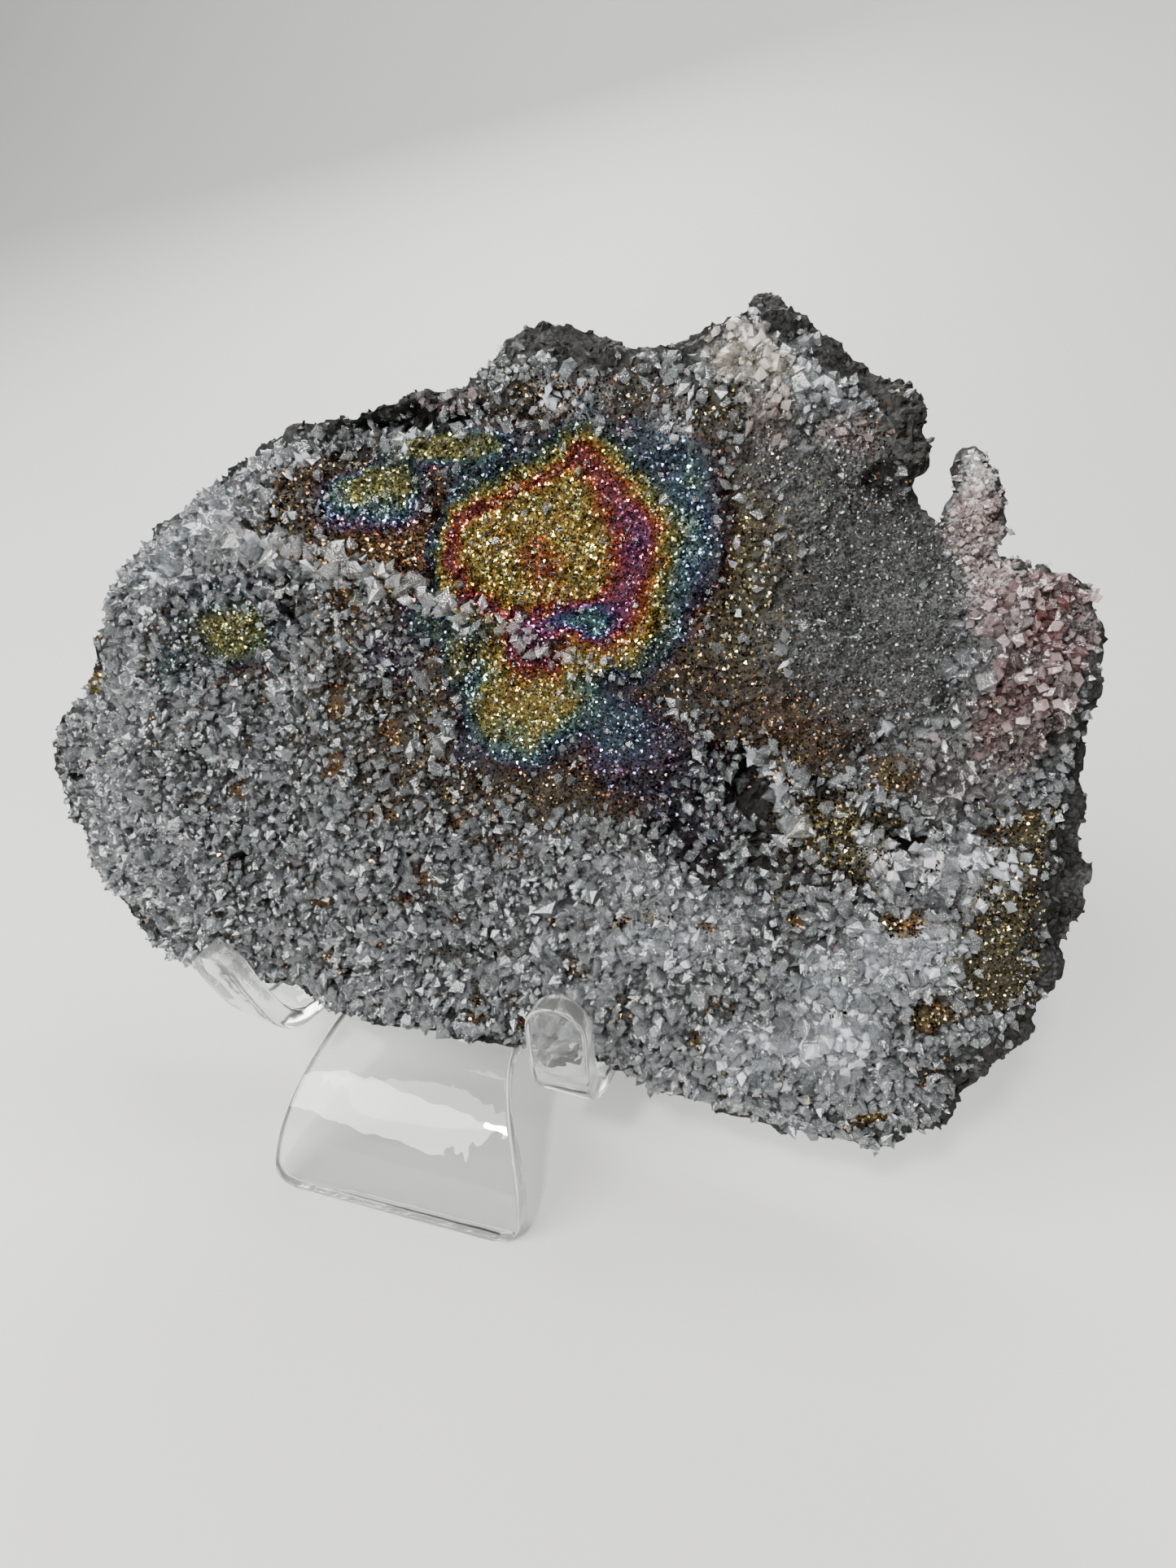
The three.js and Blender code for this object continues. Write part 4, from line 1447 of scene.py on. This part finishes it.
def dogtooth(girdle: float, zigzag: float, width: float, twist: float) -> Habit:
    """A calcite scalenohedron: two six-sided points on a zigzag girdle.

    Args:
        girdle: Height of the girdle above the root's end, as a share of the length.
        zigzag: How far the girdle's corners step up and down.
        width: Half the width, as a share of the length.
        twist: How far every second corner turns towards the next, in radians.

    Returns:
        The habit.
    """
    root = -0.30
    points = [(0.0, 0.0, root + 1.0), (0.0, 0.0, root)]
    for corner in range(6):
        side = 1 if corner % 2 else -1
        turn = corner * math.pi / 3 + side * twist
        points.append((width * math.cos(turn), width * math.sin(turn), root + girdle + side * zigzag))
    ring = [(2 + i, 2 + (i + 1) % 6) for i in range(6)]
    faces = [(0, a, b) for a, b in ring] + [(1, b, a) for a, b in ring]
    return Habit(tuple(points), tuple(faces))


def sphenoid(lift: float) -> Habit:
    """A chalcopyrite grain: four nearly equal triangles.

    Args:
        lift: How far its upper edge stands above the surface.

    Returns:
        The habit.
    """
    upper = ((0.5, 0.36, lift), (-0.5, 0.36, lift - 0.55))
    lower = ((-0.42, -0.4, lift + 0.08), (0.44, -0.5, lift - 0.6))
    return Habit(upper + lower, ((0, 1, 2), (0, 3, 1), (0, 2, 3), (1, 3, 2)))


class Growth(Enum):
    """The kinds of crystal that cover the slab, each as a few habits."""

    CALCITE = (
        dogtooth(0.52, 0.06, 0.27, 0.16), dogtooth(0.44, 0.10, 0.34, 0.10), dogtooth(0.60, 0.04, 0.22, 0.2),
    )
    BLOCKY = (
        dogtooth(0.56, 0.15, 0.38, 0.0), dogtooth(0.44, 0.10, 0.36, 0.10), dogtooth(0.5, 0.12, 0.42, 0.05),
    )
    METAL = (sphenoid(0.30), sphenoid(0.18))


# ---------------------------------------------------------------------------------------------
# Scattering
# ---------------------------------------------------------------------------------------------


class ScatterTree(NodeBuilder):
    """A Geometry Nodes tree that grows crystals from a surface."""

    THINGS = {
        "Surface": "Geometry", "Habits": "Collection", "Cover": "String", "Finish": "Material", "Seed": "Int",
    }
    NUMBERS = {
        "Spacing": 1.0 * MM,
        "Crowd": 1.0,
        "Lean": 0.8,
        "Thinnest": 1.0 * MM,
        "Thickest": 1.0 * MM,
        "Shortest": 1.0 * MM,
        "Longest": 1.0 * MM,
    }
    TRIES = 2.5  # points tried on a square as wide as the spacing
    SEED_STEP = 101  # between the seeds of the tree's random values

    def __init__(self) -> None:
        """Builds the tree."""
        super().__init__(bpy.data.node_groups.new("grow_crystals", "GeometryNodeTree"))
        self.sockets: dict[str, str] = {}
        self.declare()
        self.wire()

    def declare(self) -> None:
        interface = self.tree.interface
        for name, kind in self.THINGS.items():
            socket = interface.new_socket(name, in_out="INPUT", socket_type=f"NodeSocket{kind}")
            self.sockets[name] = socket.identifier
        for name, value in self.NUMBERS.items():
            socket = interface.new_socket(name, in_out="INPUT", socket_type="NodeSocketFloat")
            socket.default_value = value
            self.sockets[name] = socket.identifier
        interface.new_socket("Crystals", in_out="OUTPUT", socket_type="NodeSocketGeometry")

    def attribute(self, name: object) -> Socket:
        """Reads a number stored on the surface."""
        return self.add("GeometryNodeInputNamedAttribute", {"Name": name}, data_type="FLOAT").outputs[0]

    def triple(self, x: object, y: object, z: object) -> Socket:
        """Puts three numbers together."""
        return self.add("ShaderNodeCombineXYZ", {0: x, 1: y, 2: z}).outputs[0]

    def random(self, kind: str, salt: int, seed: Socket) -> bpy.types.Node:
        """Adds a random value.

        Args:
            kind: Its data type.
            salt: Sets it apart from the tree's other random values.
            seed: The tree's own seed.

        Returns:
            The node.
        """
        salted = self.maths("ADD", seed, float(salt * self.SEED_STEP))
        node = self.add("FunctionNodeRandomValue", data_type=kind)
        self.feed(node.inputs["Seed"], salted)
        return node

    def wire(self) -> None:
        """Adds the tree's nodes and links them."""
        given = self.tree.nodes.new("NodeGroupInput").outputs
        room = self.attribute("room")
        cover = self.maths("MULTIPLY", self.attribute(given["Cover"]), room)
        crowded = self.maths("MULTIPLY", cover, given["Crowd"])
        tight = self.maths("POWER", given["Spacing"], -2.0)
        points = self.add(
            "GeometryNodeDistributePointsOnFaces",
            {
                "Mesh": given["Surface"],
                "Distance Min": given["Spacing"],
                "Density Max": self.maths("MULTIPLY", tight, self.TRIES),
                "Density Factor": crowded,
                "Seed": given["Seed"],
            },
            distribute_method="POISSON",
        )
        tilt = self.random("FLOAT_VECTOR", 1, given["Seed"])
        lean = given["Lean"]
        opposite = self.maths("MULTIPLY", lean, -1.0)
        self.feed(tilt.inputs[0], self.triple(opposite, opposite, 0.0))
        self.feed(tilt.inputs[1], self.triple(lean, lean, 2 * math.pi))
        spin = self.add("FunctionNodeEulerToRotation", {0: tilt.outputs[0]})
        turned = self.add(
            "FunctionNodeRotateRotation",
            {0: points.outputs["Rotation"], 1: spin.outputs[0]},
            rotation_space="LOCAL",
        )
        size = self.random("FLOAT_VECTOR", 2, given["Seed"])
        self.feed(size.inputs[0], self.triple(given["Thinnest"], given["Thinnest"], given["Shortest"]))
        self.feed(size.inputs[1], self.triple(given["Thickest"], given["Thickest"], given["Longest"]))
        growth = self.maths("MULTIPLY", room, self.attribute("vigour"))
        fitted = self.add("ShaderNodeVectorMath", {0: size.outputs[0], "Scale": growth}, operation="SCALE")
        habits = self.add("GeometryNodeCollectionInfo", {0: given["Habits"], 1: True, 2: True})
        grown = self.add(
            "GeometryNodeInstanceOnPoints",
            {
                "Points": points.outputs["Points"],
                "Instance": habits.outputs[0],
                "Pick Instance": True,
                "Rotation": turned.outputs[0],
                "Scale": fitted.outputs[0],
            },
        )
        tone = self.random("FLOAT", 3, given["Seed"])
        toned = self.add(
            "GeometryNodeStoreNamedAttribute",
            {"Geometry": grown.outputs[0], "Name": "tone", "Value": tone.outputs[1]},
            data_type="FLOAT",
            domain="INSTANCE",
        )
        real = self.add("GeometryNodeRealizeInstances", {0: toned.outputs[0]})
        finish = {"Geometry": real.outputs[0], "Material": given["Finish"]}
        dressed = self.add("GeometryNodeSetMaterial", finish)
        end = self.tree.nodes.new("NodeGroupOutput")
        self.feed(end.inputs[0], dressed.outputs[0])


@dataclass
class CrystalCoat:
    """One kind of crystal, scattered over the slab. Sizes are in millimetres."""

    name: str
    growth: Growth
    finish: Finish
    cover: str
    spacing: float
    length: Pair
    width: Pair
    lean: float = 0.8
    crowd: float = 1.0
    seed: int = 1

    def habits(self) -> bpy.types.Collection:
        """Makes the habits as objects.

        Returns:
            The collection that holds them.
        """
        habits = bpy.data.collections.new(f"{self.name}_habits")
        bpy.context.scene.collection.children.link(habits)
        for number, habit in enumerate(self.growth.value):
            shape = closed_object(f"{self.name}_habit_{number}", habit.points, habit.faces)
            bpy.context.scene.collection.objects.unlink(shape)
            habits.objects.link(shape)
        return habits

    def build(self, slab: bpy.types.Object, scatter: ScatterTree, finish: bpy.types.Material) -> None:
        """Grows the crystals and gives them their place in the object.

        Args:
            slab: The matrix they grow from.
            scatter: The shared tree.
            finish: Their material.
        """
        habits = self.habits()
        ground = make_object(f"{self.name}_ground", slab.data.copy())
        modifier = ground.modifiers.new("grow", "NODES")
        modifier.node_group = scatter.tree
        values = {
            "Habits": habits,
            "Cover": self.cover,
            "Finish": finish,
            "Seed": self.seed,
            "Spacing": self.spacing * MM,
            "Crowd": self.crowd,
            "Lean": self.lean,
            "Thinnest": self.width[0] * MM,
            "Thickest": self.width[1] * MM,
            "Shortest": self.length[0] * MM,
            "Longest": self.length[1] * MM,
        }
        for socket, value in values.items():
            modifier[scatter.sockets[socket]] = value
        mesh = evaluated_copy(ground, self.name)
        for leftover in [ground, *habits.objects]:
            bpy.data.objects.remove(leftover)
        bpy.data.collections.remove(habits)
        one_finish(mesh, finish)
        keep_in_box(mesh, SPECIMEN_NODE)
        register(make_object(self.name, mesh))


@dataclass
class CrystalCover:
    """Every coat of crystals on the slab."""

    coats: Sequence[CrystalCoat] = (
        CrystalCoat(
            "calcite_druse_coarse", Growth.CALCITE, Finish.CALCITE, "coarse_druse",
            1.75, (2.2, 4.4), (2.5, 4.9), 0.95, 0.95, 11,
        ),
        CrystalCoat(
            "calcite_druse_large", Growth.CALCITE, Finish.CALCITE, "coarse_druse",
            4.6, (3.2, 5.4), (3.6, 6.6), 0.9, 0.42, 21,
        ),
        CrystalCoat(
            "calcite_druse_small", Growth.CALCITE, Finish.CALCITE, "small_druse",
            1.08, (1.3, 2.7), (1.5, 3.0), 1.1, 0.85, 12,
        ),
        CrystalCoat(
            "calcite_druse_fine", Growth.BLOCKY, Finish.OVER_DARK, "fine_druse",
            0.52, (0.55, 1.05), (0.55, 1.0), 1.1, 1.0, 13,
        ),
        CrystalCoat(
            "calcite_milky", Growth.CALCITE, Finish.MILKY, "milky_druse",
            1.40, (1.9, 3.6), (2.2, 3.9), 1.1, 1.0, 14,
        ),
        CrystalCoat(
            "calcite_vein", Growth.CALCITE, Finish.RIDGE, "vein_druse",
            1.40, (2.5, 4.3), (2.2, 3.9), 1.3, 1.0, 15,
        ),
        CrystalCoat(
            "horn_crust", Growth.BLOCKY, Finish.ROSY, "pale_crust",
            0.85, (1.0, 2.0), (1.1, 2.0), 0.9, 1.0, 20,
        ),
        CrystalCoat(
            "pink_crust", Growth.BLOCKY, Finish.ROSY, "crust",
            1.35, (1.5, 3.9), (1.7, 3.9), 1.1, 0.72, 16,
        ),
        CrystalCoat(
            "chalcopyrite_grains", Growth.METAL, Finish.METAL, "glitter",
            0.37, (0.38, 0.66), (0.38, 0.66), 1.2, 1.0, 17,
        ),
        CrystalCoat(
            "chalcopyrite_sparks", Growth.METAL, Finish.METAL, "sparks",
            1.0, (0.5, 1.0), (0.5, 1.0), 1.2, 0.5, 18,
        ),
        CrystalCoat(
            "matrix_grit", Growth.BLOCKY, Finish.GRIT, "grit",
            1.35, (0.5, 1.1), (1.2, 2.8), 1.3, 0.50, 19,
        ),
    )

    def build(self, slab: bpy.types.Object) -> None:
        """Grows every coat on the slab.

        Args:
            slab: The matrix.
        """
        scatter = ScatterTree()
        finishes = {finish: finish.value.build() for finish in Finish}
        for coat in self.coats:
            coat.build(slab, scatter, finishes[coat.finish])


# ---------------------------------------------------------------------------------------------
# The easel
# ---------------------------------------------------------------------------------------------


def arc(centre: Pair, radii: Pair, start: float, end: float, steps: int) -> Line:
    """Points along part of an ellipse.

    Args:
        centre: Its middle.
        radii: Its two half-sizes.
        start: First angle, in degrees.
        end: Last angle, in degrees.
        steps: Number of steps between them.

    Returns:
        The points.
    """
    turns = np.radians(np.linspace(start, end, steps + 1))
    return [(centre[0] + radii[0] * math.cos(t), centre[1] + radii[1] * math.sin(t)) for t in turns]


def spline(knots: Line, steps: int) -> Line:
    """A smooth line through knots.

    Args:
        knots: The points it passes.
        steps: Number of steps between neighbouring knots.

    Returns:
        Points along the line.
    """
    points = []
    last = len(knots) - 1
    for i in range(last):
        p0, p1, p2, p3 = (np.array(knots[min(max(i + k, 0), last)]) for k in (-1, 0, 1, 2))
        for t in np.linspace(0.0, 1.0, steps, endpoint=False):
            slope1, slope2 = 0.5 * (p2 - p0), 0.5 * (p3 - p1)
            value = (2 * p1 - 2 * p2 + slope1 + slope2) * t**3
            value += (-3 * p1 + 3 * p2 - 2 * slope1 - slope2) * t**2 + slope1 * t + p1
            points.append(tuple(value))
    points.append(tuple(knots[-1]))
    return points


@dataclass(frozen=True)
class Arm:
    """One of the easel's two hooks."""

    across: float
    depth: float
    turn: float
    flare: float
    top: float


@dataclass
class AcrylicEasel:
    """A clear sheet cut out and bent hot. Sizes are in millimetres."""

    shift_x: float = -11.68
    sheet: float = 4.8
    edge_round: float = 0.9
    saddle_z: float = 26.5
    saddle_front: float = -17.0
    saddle_spare: float = 0.3
    saddle_round: float = 9.0
    saddle_bevel: float = 0.7
    foot_reach: float = 49.6
    foot_curve: float = 24.0  # how far the front foot's curve reaches back
    front_foot_half: float = 28.0
    rear_foot_half: float = 36.0
    neck_half: float = 17.0
    neck_shift: float = -2.8
    foot_bow: float = 5.0
    foot_sway: float = 5.2
    arm_width: float = 12.6
    arm_rear: float = 16.0  # a hook's own edges end here, behind its upright
    backrest_y: float = -2.8
    backrest_top: float = 118.0
    backrest_half: float = 16.0
    bend_radius: float = 8.0
    corner: float = 5.0
    step: float = 3.0  # longest run of the rear leg between two rings
    arms: Sequence[Arm] = (
        Arm(-38.0, -33.0, -11.0, 7.0, 52.0),
        Arm(33.0, -34.5, -2.0, 2.5, 53.8),
    )

    EDGE_FACING = 0.55  # how far a face looks aside, or down at the foot, to be an edge of the sheet
    SMOOTH_ANGLE = 32.0  # sharpest fold that is still shaded smooth, in degrees

    def build(self) -> bpy.types.Object:
        """Makes the easel as one closed piece.

        Returns:
            The easel as an object.
        """
        strips = [self.front_foot(), self.rear(), *(self.arm(arm) for arm in self.arms)]
        whole = self.saddle()
        for strip in strips:
            union = whole.modifiers.new("join", "BOOLEAN")
            union.operation = "UNION"
            union.solver = "MANIFOLD"
            union.object = strip
        mesh = evaluated_copy(whole, "acrylic_easel")
        for leftover in [whole, *strips]:
            bpy.data.objects.remove(leftover)
        self.mark_edges(mesh)
        mesh.shade_smooth()
        mesh.set_sharp_from_angle(angle=math.radians(self.SMOOTH_ANGLE))
        keep_in_box(mesh, EASEL_NODE)
        return make_object("acrylic_easel", mesh)

    def mark_edges(self, mesh: bpy.types.Mesh) -> None:
        """Numbers the faces by finish: 0 sheet, 1 flamed edges with a painted highlight, 2 the hooks' sawn
        edges.

        Args:
            mesh: The easel's mesh.
        """
        x, y, z = read_each(mesh.polygons, "center", 3).T / MM
        side, _, above = read_each(mesh.polygons, "normal", 3).T
        aside_or_down = np.maximum(np.abs(side), -above * (z < 1.0))
        # The sheet's edges get the whitened finish, which paints a bright highlight along them.
        bright_edges = (aside_or_down > self.EDGE_FACING) & (z < self.backrest_top + 4)
        half = self.arm_width / 2
        sawn = np.zeros(len(mesh.polygons), dtype=bool)
        for arm in self.arms:
            turn = math.radians(arm.turn)
            dx, dy = x - arm.across - self.shift_x, y - arm.depth
            aside = dx * math.cos(turn) + dy * math.sin(turn)
            along = dy * math.cos(turn) - dx * math.sin(turn)
            rim = np.hypot(aside, np.maximum(z - (arm.top - half), 0.0))
            on_arm = (along < self.arm_rear) & (z > self.saddle_z - 3)
            sawn |= on_arm & (rim > half - 0.7) & (rim < half + 0.3)
        mesh.polygons.foreach_set("material_index", np.where(sawn, 2, bright_edges.astype(int)).astype(np.int32))

    def dress(self, piece: bpy.types.Object) -> None:
        """Gives the easel its finishes and its place in the object.

        Args:
            piece: The easel.
        """
        mesh = piece.data
        marked = read_each(mesh.polygons, "material_index", kind=np.int32)
        mesh.materials.clear()
        for surface in AcrylicSurface:
            mesh.materials.append(AcrylicFinish(surface).build())
        mesh.polygons.foreach_set("material_index", marked)
        register(piece)
        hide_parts(EASEL_NODE)

    def half_width(self, z: float, foot: float, top: float, top_z: float, bow: float) -> float:
        """Half the width of a tapered sheet at a height.

        Args:
            z: The height.
            foot: Half the width at the foot.
            top: Half the width at the top.
            top_z: Height of the top.
            bow: How far the sides bow outwards at their control point.

        Returns:
            The half-width, narrowed by the round corner at the foot.
        """
        share = min(max((z - self.corner) / (top_z - self.corner), 0.0), 1.0)
        half = foot + (top - foot) * share + 2 * bow * share * (1 - share)
        below = max(self.corner - z, 0.0) / self.corner
        return half - self.corner * (1.0 - math.sqrt(max(1.0 - below**2, 0.0)))

    def front_foot(self) -> bpy.types.Object:
        """Makes the foot that falls in a curve from the saddle to the surface it stands on.

        Returns:
            The foot as an object.
        """
        middle = -self.foot_reach + self.sheet / 2
        line = arc((middle + self.foot_curve, 0.0), (self.foot_curve, self.saddle_z), 180, 90, 48)
        line = [(middle, 0.0), *line[1:], (self.saddle_front + 4, self.saddle_z)]
        top_z = self.saddle_z + self.sheet
        sizes = (self.front_foot_half, self.neck_half, top_z, self.foot_bow)
        halves = [self.half_width(z, *sizes) for _, z in line]
        shares = [min(z / top_z, 1.0) for _, z in line]
        shifts = [self.neck_shift * share + self.foot_sway * share * (1.0 - share) for share in shares]
        return self.strip("front_foot", line, halves, shifts)

    def rear(self) -> bpy.types.Object:
        """Makes the backrest, the bend over its top and the rear leg.

        Returns:
            The three as one object.
        """
        bend = self.bend_radius
        top_y = self.backrest_y + 2 + (self.backrest_top - self.saddle_z) * math.tan(SLAB.lean)
        foot_y = self.foot_reach - self.sheet / 2
        line = [(self.saddle_front + 5, self.saddle_z)]
        line += arc((self.backrest_y - 6, self.saddle_z + bend), (bend, bend), 270, 347, 14)
        line += arc((top_y + bend - 2, self.backrest_top - bend), (bend, bend), 167, 14, 24)
        line += [(foot_y, 6.0), (foot_y, 0.0)]
        line = self.refined(line)
        top_z = self.backrest_top + self.sheet
        sizes = (self.rear_foot_half, self.backrest_half, top_z, 0.0)
        halves = [self.half_width(z, *sizes) for _, z in line]
        return self.strip("rear", line, halves, [0.0] * len(line))

    def arm(self, arm: Arm) -> bpy.types.Object:
        """Makes a hook: flat under the slab, then up in front of it to a round end.

        Args:
            arm: The hook's place and size.

        Returns:
            The hook as an object.
        """
        rise = arm.top - self.saddle_z
        knots = [
            (20.0, 0.0), (12.0, 0.0), (6.0, 0.8), (1.2, 5.0), (-0.4 - 0.25 * arm.flare, 0.42 * rise),
            (-0.6 - 0.8 * arm.flare, 0.76 * rise), (-0.6 - arm.flare, rise),
        ]
        line = [(y, z + self.saddle_z) for y, z in spline(knots, 10)]
        half = self.arm_width / 2
        halves = []
        for _, z in line:
            above = min(max((z - (arm.top - half)) / half, 0.0), 0.995)
            halves.append(half * math.sqrt(1.0 - above**2))
        piece = self.strip("arm", line, halves, [0.0] * len(line))
        turn = math.radians(arm.turn)
        points = read_points(piece.data)
        x, y = points[:, 0] - self.shift_x * MM, points[:, 1].copy()
        points[:, 0] = x * math.cos(turn) - y * math.sin(turn) + (arm.across + self.shift_x) * MM
        points[:, 1] = x * math.sin(turn) + y * math.cos(turn) + arm.depth * MM
        write_points(piece.data, points)
        return piece

    def saddle(self) -> bpy.types.Object:
        """Makes the flat plate that the foot, the arms and the backrest leave from.

        Returns:
            The plate as an object.
        """
        half = self.arms[1].across + self.arm_width / 2 - 2
        rear = self.backrest_y - 5
        radii = (self.saddle_round, rear - self.saddle_front)
        corner = arc((half - self.saddle_round, self.saddle_front), radii, 0, 90, 10)
        plan = [*corner, *((-x, y) for x, y in reversed(corner))]
        thickness = self.sheet + 2 * self.saddle_spare
        low = self.saddle_z - thickness / 2
        work = bmesh.new()
        bottom, top = (
            [work.verts.new(((x + self.shift_x) * MM, y * MM, z * MM)) for x, y in plan]
            for z in (low, low + thickness)
        )
        work.faces.new(top)
        work.faces.new(list(reversed(bottom)))
        for i in range(len(plan)):
            j = (i + 1) % len(plan)
            work.faces.new((bottom[i], bottom[j], top[j], top[i]))
        bmesh.ops.recalc_face_normals(work, faces=work.faces)
        rims = [edge for edge in work.edges if abs(edge.verts[0].co.z - edge.verts[1].co.z) < 0.0001 * MM]
        bevel = self.saddle_bevel * MM
        bmesh.ops.bevel(work, geom=rims, offset=bevel, segments=2, affect="EDGES", profile=0.5)
        return make_object("saddle", written(work, bpy.data.meshes.new("saddle")))

    def refined(self, line: Line) -> Line:
        """Parts a line's long runs into steps of about the same length.

        Args:
            line: The line.

        Returns:
            The line with more points.
        """
        points = [line[0]]
        for (ay, az), (by, bz) in zip(line[:-1], line[1:]):
            count = max(1, round(math.hypot(by - ay, bz - az) / self.step))
            points += [(ay + (by - ay) * k / count, az + (bz - az) * k / count) for k in range(1, count + 1)]
        return points

    def strip(self, name: str, line: Line, halves: list[float], shifts: list[float]) -> bpy.types.Object:
        """Lofts a sheet along its middle line.

        Args:
            name: The strip's name.
            line: Its middle line, back and up.
            halves: Half its width at each point of the line.
            shifts: How far its middle lies to the right there.

        Returns:
            The strip as a closed object.
        """
        rings = []
        for i, (y, z) in enumerate(line):
            before, after = line[max(i - 1, 0)], line[min(i + 1, len(line) - 1)]
            run = np.array([after[0] - before[0], after[1] - before[1]])
            run /= np.linalg.norm(run)
            radius = min(self.edge_round, 0.8 * halves[i])
            ring = []
            for x, thick in self.section(halves[i], radius):
                ring.append((x + shifts[i] + self.shift_x, y - run[1] * thick, z + run[0] * thick))
            rings.append(ring)
        count = len(rings[0])
        points = [tuple(part * MM for part in point) for ring in rings for point in ring]
        faces = []
        for i in range(len(rings) - 1):
            for k in range(count):
                near, far = i * count, (i + 1) * count
                faces.append((near + k, near + (k + 1) % count, far + (k + 1) % count, far + k))
        faces.append(tuple(reversed(range(count))))
        faces.append(tuple(range((len(rings) - 1) * count, len(rings) * count)))
        return closed_object(name, points, faces)

    def section(self, half: float, radius: float) -> Line:
        """Draws the sheet's cross-section: a rectangle with rounded edges.

        Args:
            half: Half the sheet's width.
            radius: How wide the round edges are.

        Returns:
            Places across the sheet and through it.
        """
        thick = self.sheet / 2
        corners = ((1, 1, 0), (-1, 1, 90), (-1, -1, 180), (1, -1, 270))
        points = []
        for side, face, start in corners:
            centre = (side * (half - radius), face * (thick - self.edge_round))
            points += arc(centre, (radius, self.edge_round), start, start + 90, 3)
        return points


# ---------------------------------------------------------------------------------------------
# The studio
# ---------------------------------------------------------------------------------------------


@dataclass(frozen=True)
class SoftBox:
    """A rectangular studio light that looks at the specimen."""

    name: str
    place: tuple[float, float, float]
    width: float
    height: float
    power: float
    warmth: Colour = (1.0, 1.0, 1.0)
    target: tuple[float, float, float] = (0.0, 0.0, 0.09)

    def build(self) -> None:
        """Puts the light in the scene, turned to its target."""
        data = bpy.data.lights.new(self.name, "AREA")
        data.shape = "RECTANGLE"
        data.size = self.width
        data.size_y = self.height
        data.energy = self.power
        data.color = self.warmth
        lamp = bpy.data.objects.new(self.name, data)
        lamp.location = self.place
        away = Vector(self.target) - Vector(self.place)
        lamp.rotation_euler = away.to_track_quat("-Z", "Y").to_euler()
        bpy.context.scene.collection.objects.link(lamp)


@dataclass
class Studio:
    """A pale floor that sweeps up behind, soft lights and the camera."""

    lens_mm: float = 24.51
    sensor_mm: float = 36.0
    camera_place: tuple[float, float, float] = (0.0743, -0.188, 0.180)
    pitch_down: float = 26.8
    yaw_left: float = 17.4
    floor_colour: Colour = (0.40, 0.40, 0.39)
    world_colour: Colour = (0.80, 0.82, 0.84)
    world_strength: float = 0.28
    half_width: float = 2.2
    front_y: float = -1.6
    wall_y: float = 0.5
    wall_top: float = 3.2
    sweep: float = 1.9
    lights: Sequence[SoftBox] = (
        SoftBox("window", (-0.70, -1.10, 0.95), 1.20, 1.10, 88.0, (1.0, 0.99, 0.97)),
        SoftBox("sparkle", (-0.05, -0.95, 1.15), 0.12, 0.12, 24.0, (1.0, 0.98, 0.94)),
        SoftBox("fill", (1.10, -0.90, 0.70), 0.35, 0.35, 5.0, (0.94, 0.97, 1.0)),
        SoftBox("top", (0.1, 0.25, 1.30), 1.2, 0.6, 14.0),
        SoftBox("rear", (-0.60, 1.20, 0.95), 0.9, 0.6, 26.0),
        SoftBox("backdrop", (0.0, 0.75, 2.30), 2.4, 0.5, 60.0, target=(0.0, 2.40, 1.10)),
    )

    def build(self) -> None:
        """Sets up the floor, the lights and the camera."""
        self.floor()
        for light in self.lights:
            light.build()
        self.world()
        self.camera()

    def floor(self) -> None:
        """Makes the floor and its sweep, which are not part of the object."""
        turns = np.radians(np.linspace(-90, 0, 25))
        line = [(self.front_y, 0.0)]
        bend = self.sweep
        line += [(self.wall_y + bend * math.cos(t), bend + bend * math.sin(t)) for t in turns]
        line += [(self.wall_y + self.sweep, self.wall_top)]
        points = [(side * self.half_width, y, z) for y, z in line for side in (-1, 1)]
        faces = [(2 * i, 2 * i + 1, 2 * i + 3, 2 * i + 2) for i in range(len(line) - 1)]
        mesh = bpy.data.meshes.new("floor")
        mesh.from_pydata(points, [], faces)
        mesh.shade_smooth()
        shader = Shader("pale_floor")
        tone = shader.noise(0.01, 3.0)
        pale = tuple(min(1.0, 1.04 * part) for part in self.floor_colour)
        shader.feed(shader.surface.inputs["Base Color"], shader.blend(tone, self.floor_colour, pale))
        shader.surface.inputs["Roughness"].default_value = 0.75
        mesh.materials.append(shader.material)
        floor = make_object("floor", mesh)

    def world(self) -> None:
        """Lights the room evenly."""
        world = bpy.data.worlds.new("studio")
        world.use_nodes = True
        background = world.node_tree.nodes["Background"]
        background.inputs["Color"].default_value = (*self.world_colour, 1.0)
        background.inputs["Strength"].default_value = self.world_strength
        bpy.context.scene.world = world

    def camera(self) -> None:
        """Places the camera, without depth of field or shift."""
        data = bpy.data.cameras.new("camera")
        data.sensor_fit = "AUTO"
        data.sensor_width = self.sensor_mm
        data.lens = self.lens_mm
        data.clip_start = 0.01
        camera = bpy.data.objects.new("camera", data)
        camera.location = self.camera_place
        camera.rotation_euler = (math.radians(90.0 - self.pitch_down), 0.0, math.radians(self.yaw_left))
        bpy.context.scene.collection.objects.link(camera)
        bpy.context.scene.camera = camera


# ---------------------------------------------------------------------------------------------
# Putting it together
# ---------------------------------------------------------------------------------------------


def main() -> None:
    """Builds the object's pieces in order, then the studio round them."""
    logging.basicConfig(level=logging.INFO, format="%(name)s: %(message)s")
    matrix = Matrix()
    slab = matrix.build()
    CrystalCover().build(slab)
    matrix.dress(slab)
    easel = AcrylicEasel()
    easel.dress(easel.build())
    Studio().build()


if __name__ == "__main__":
    main()
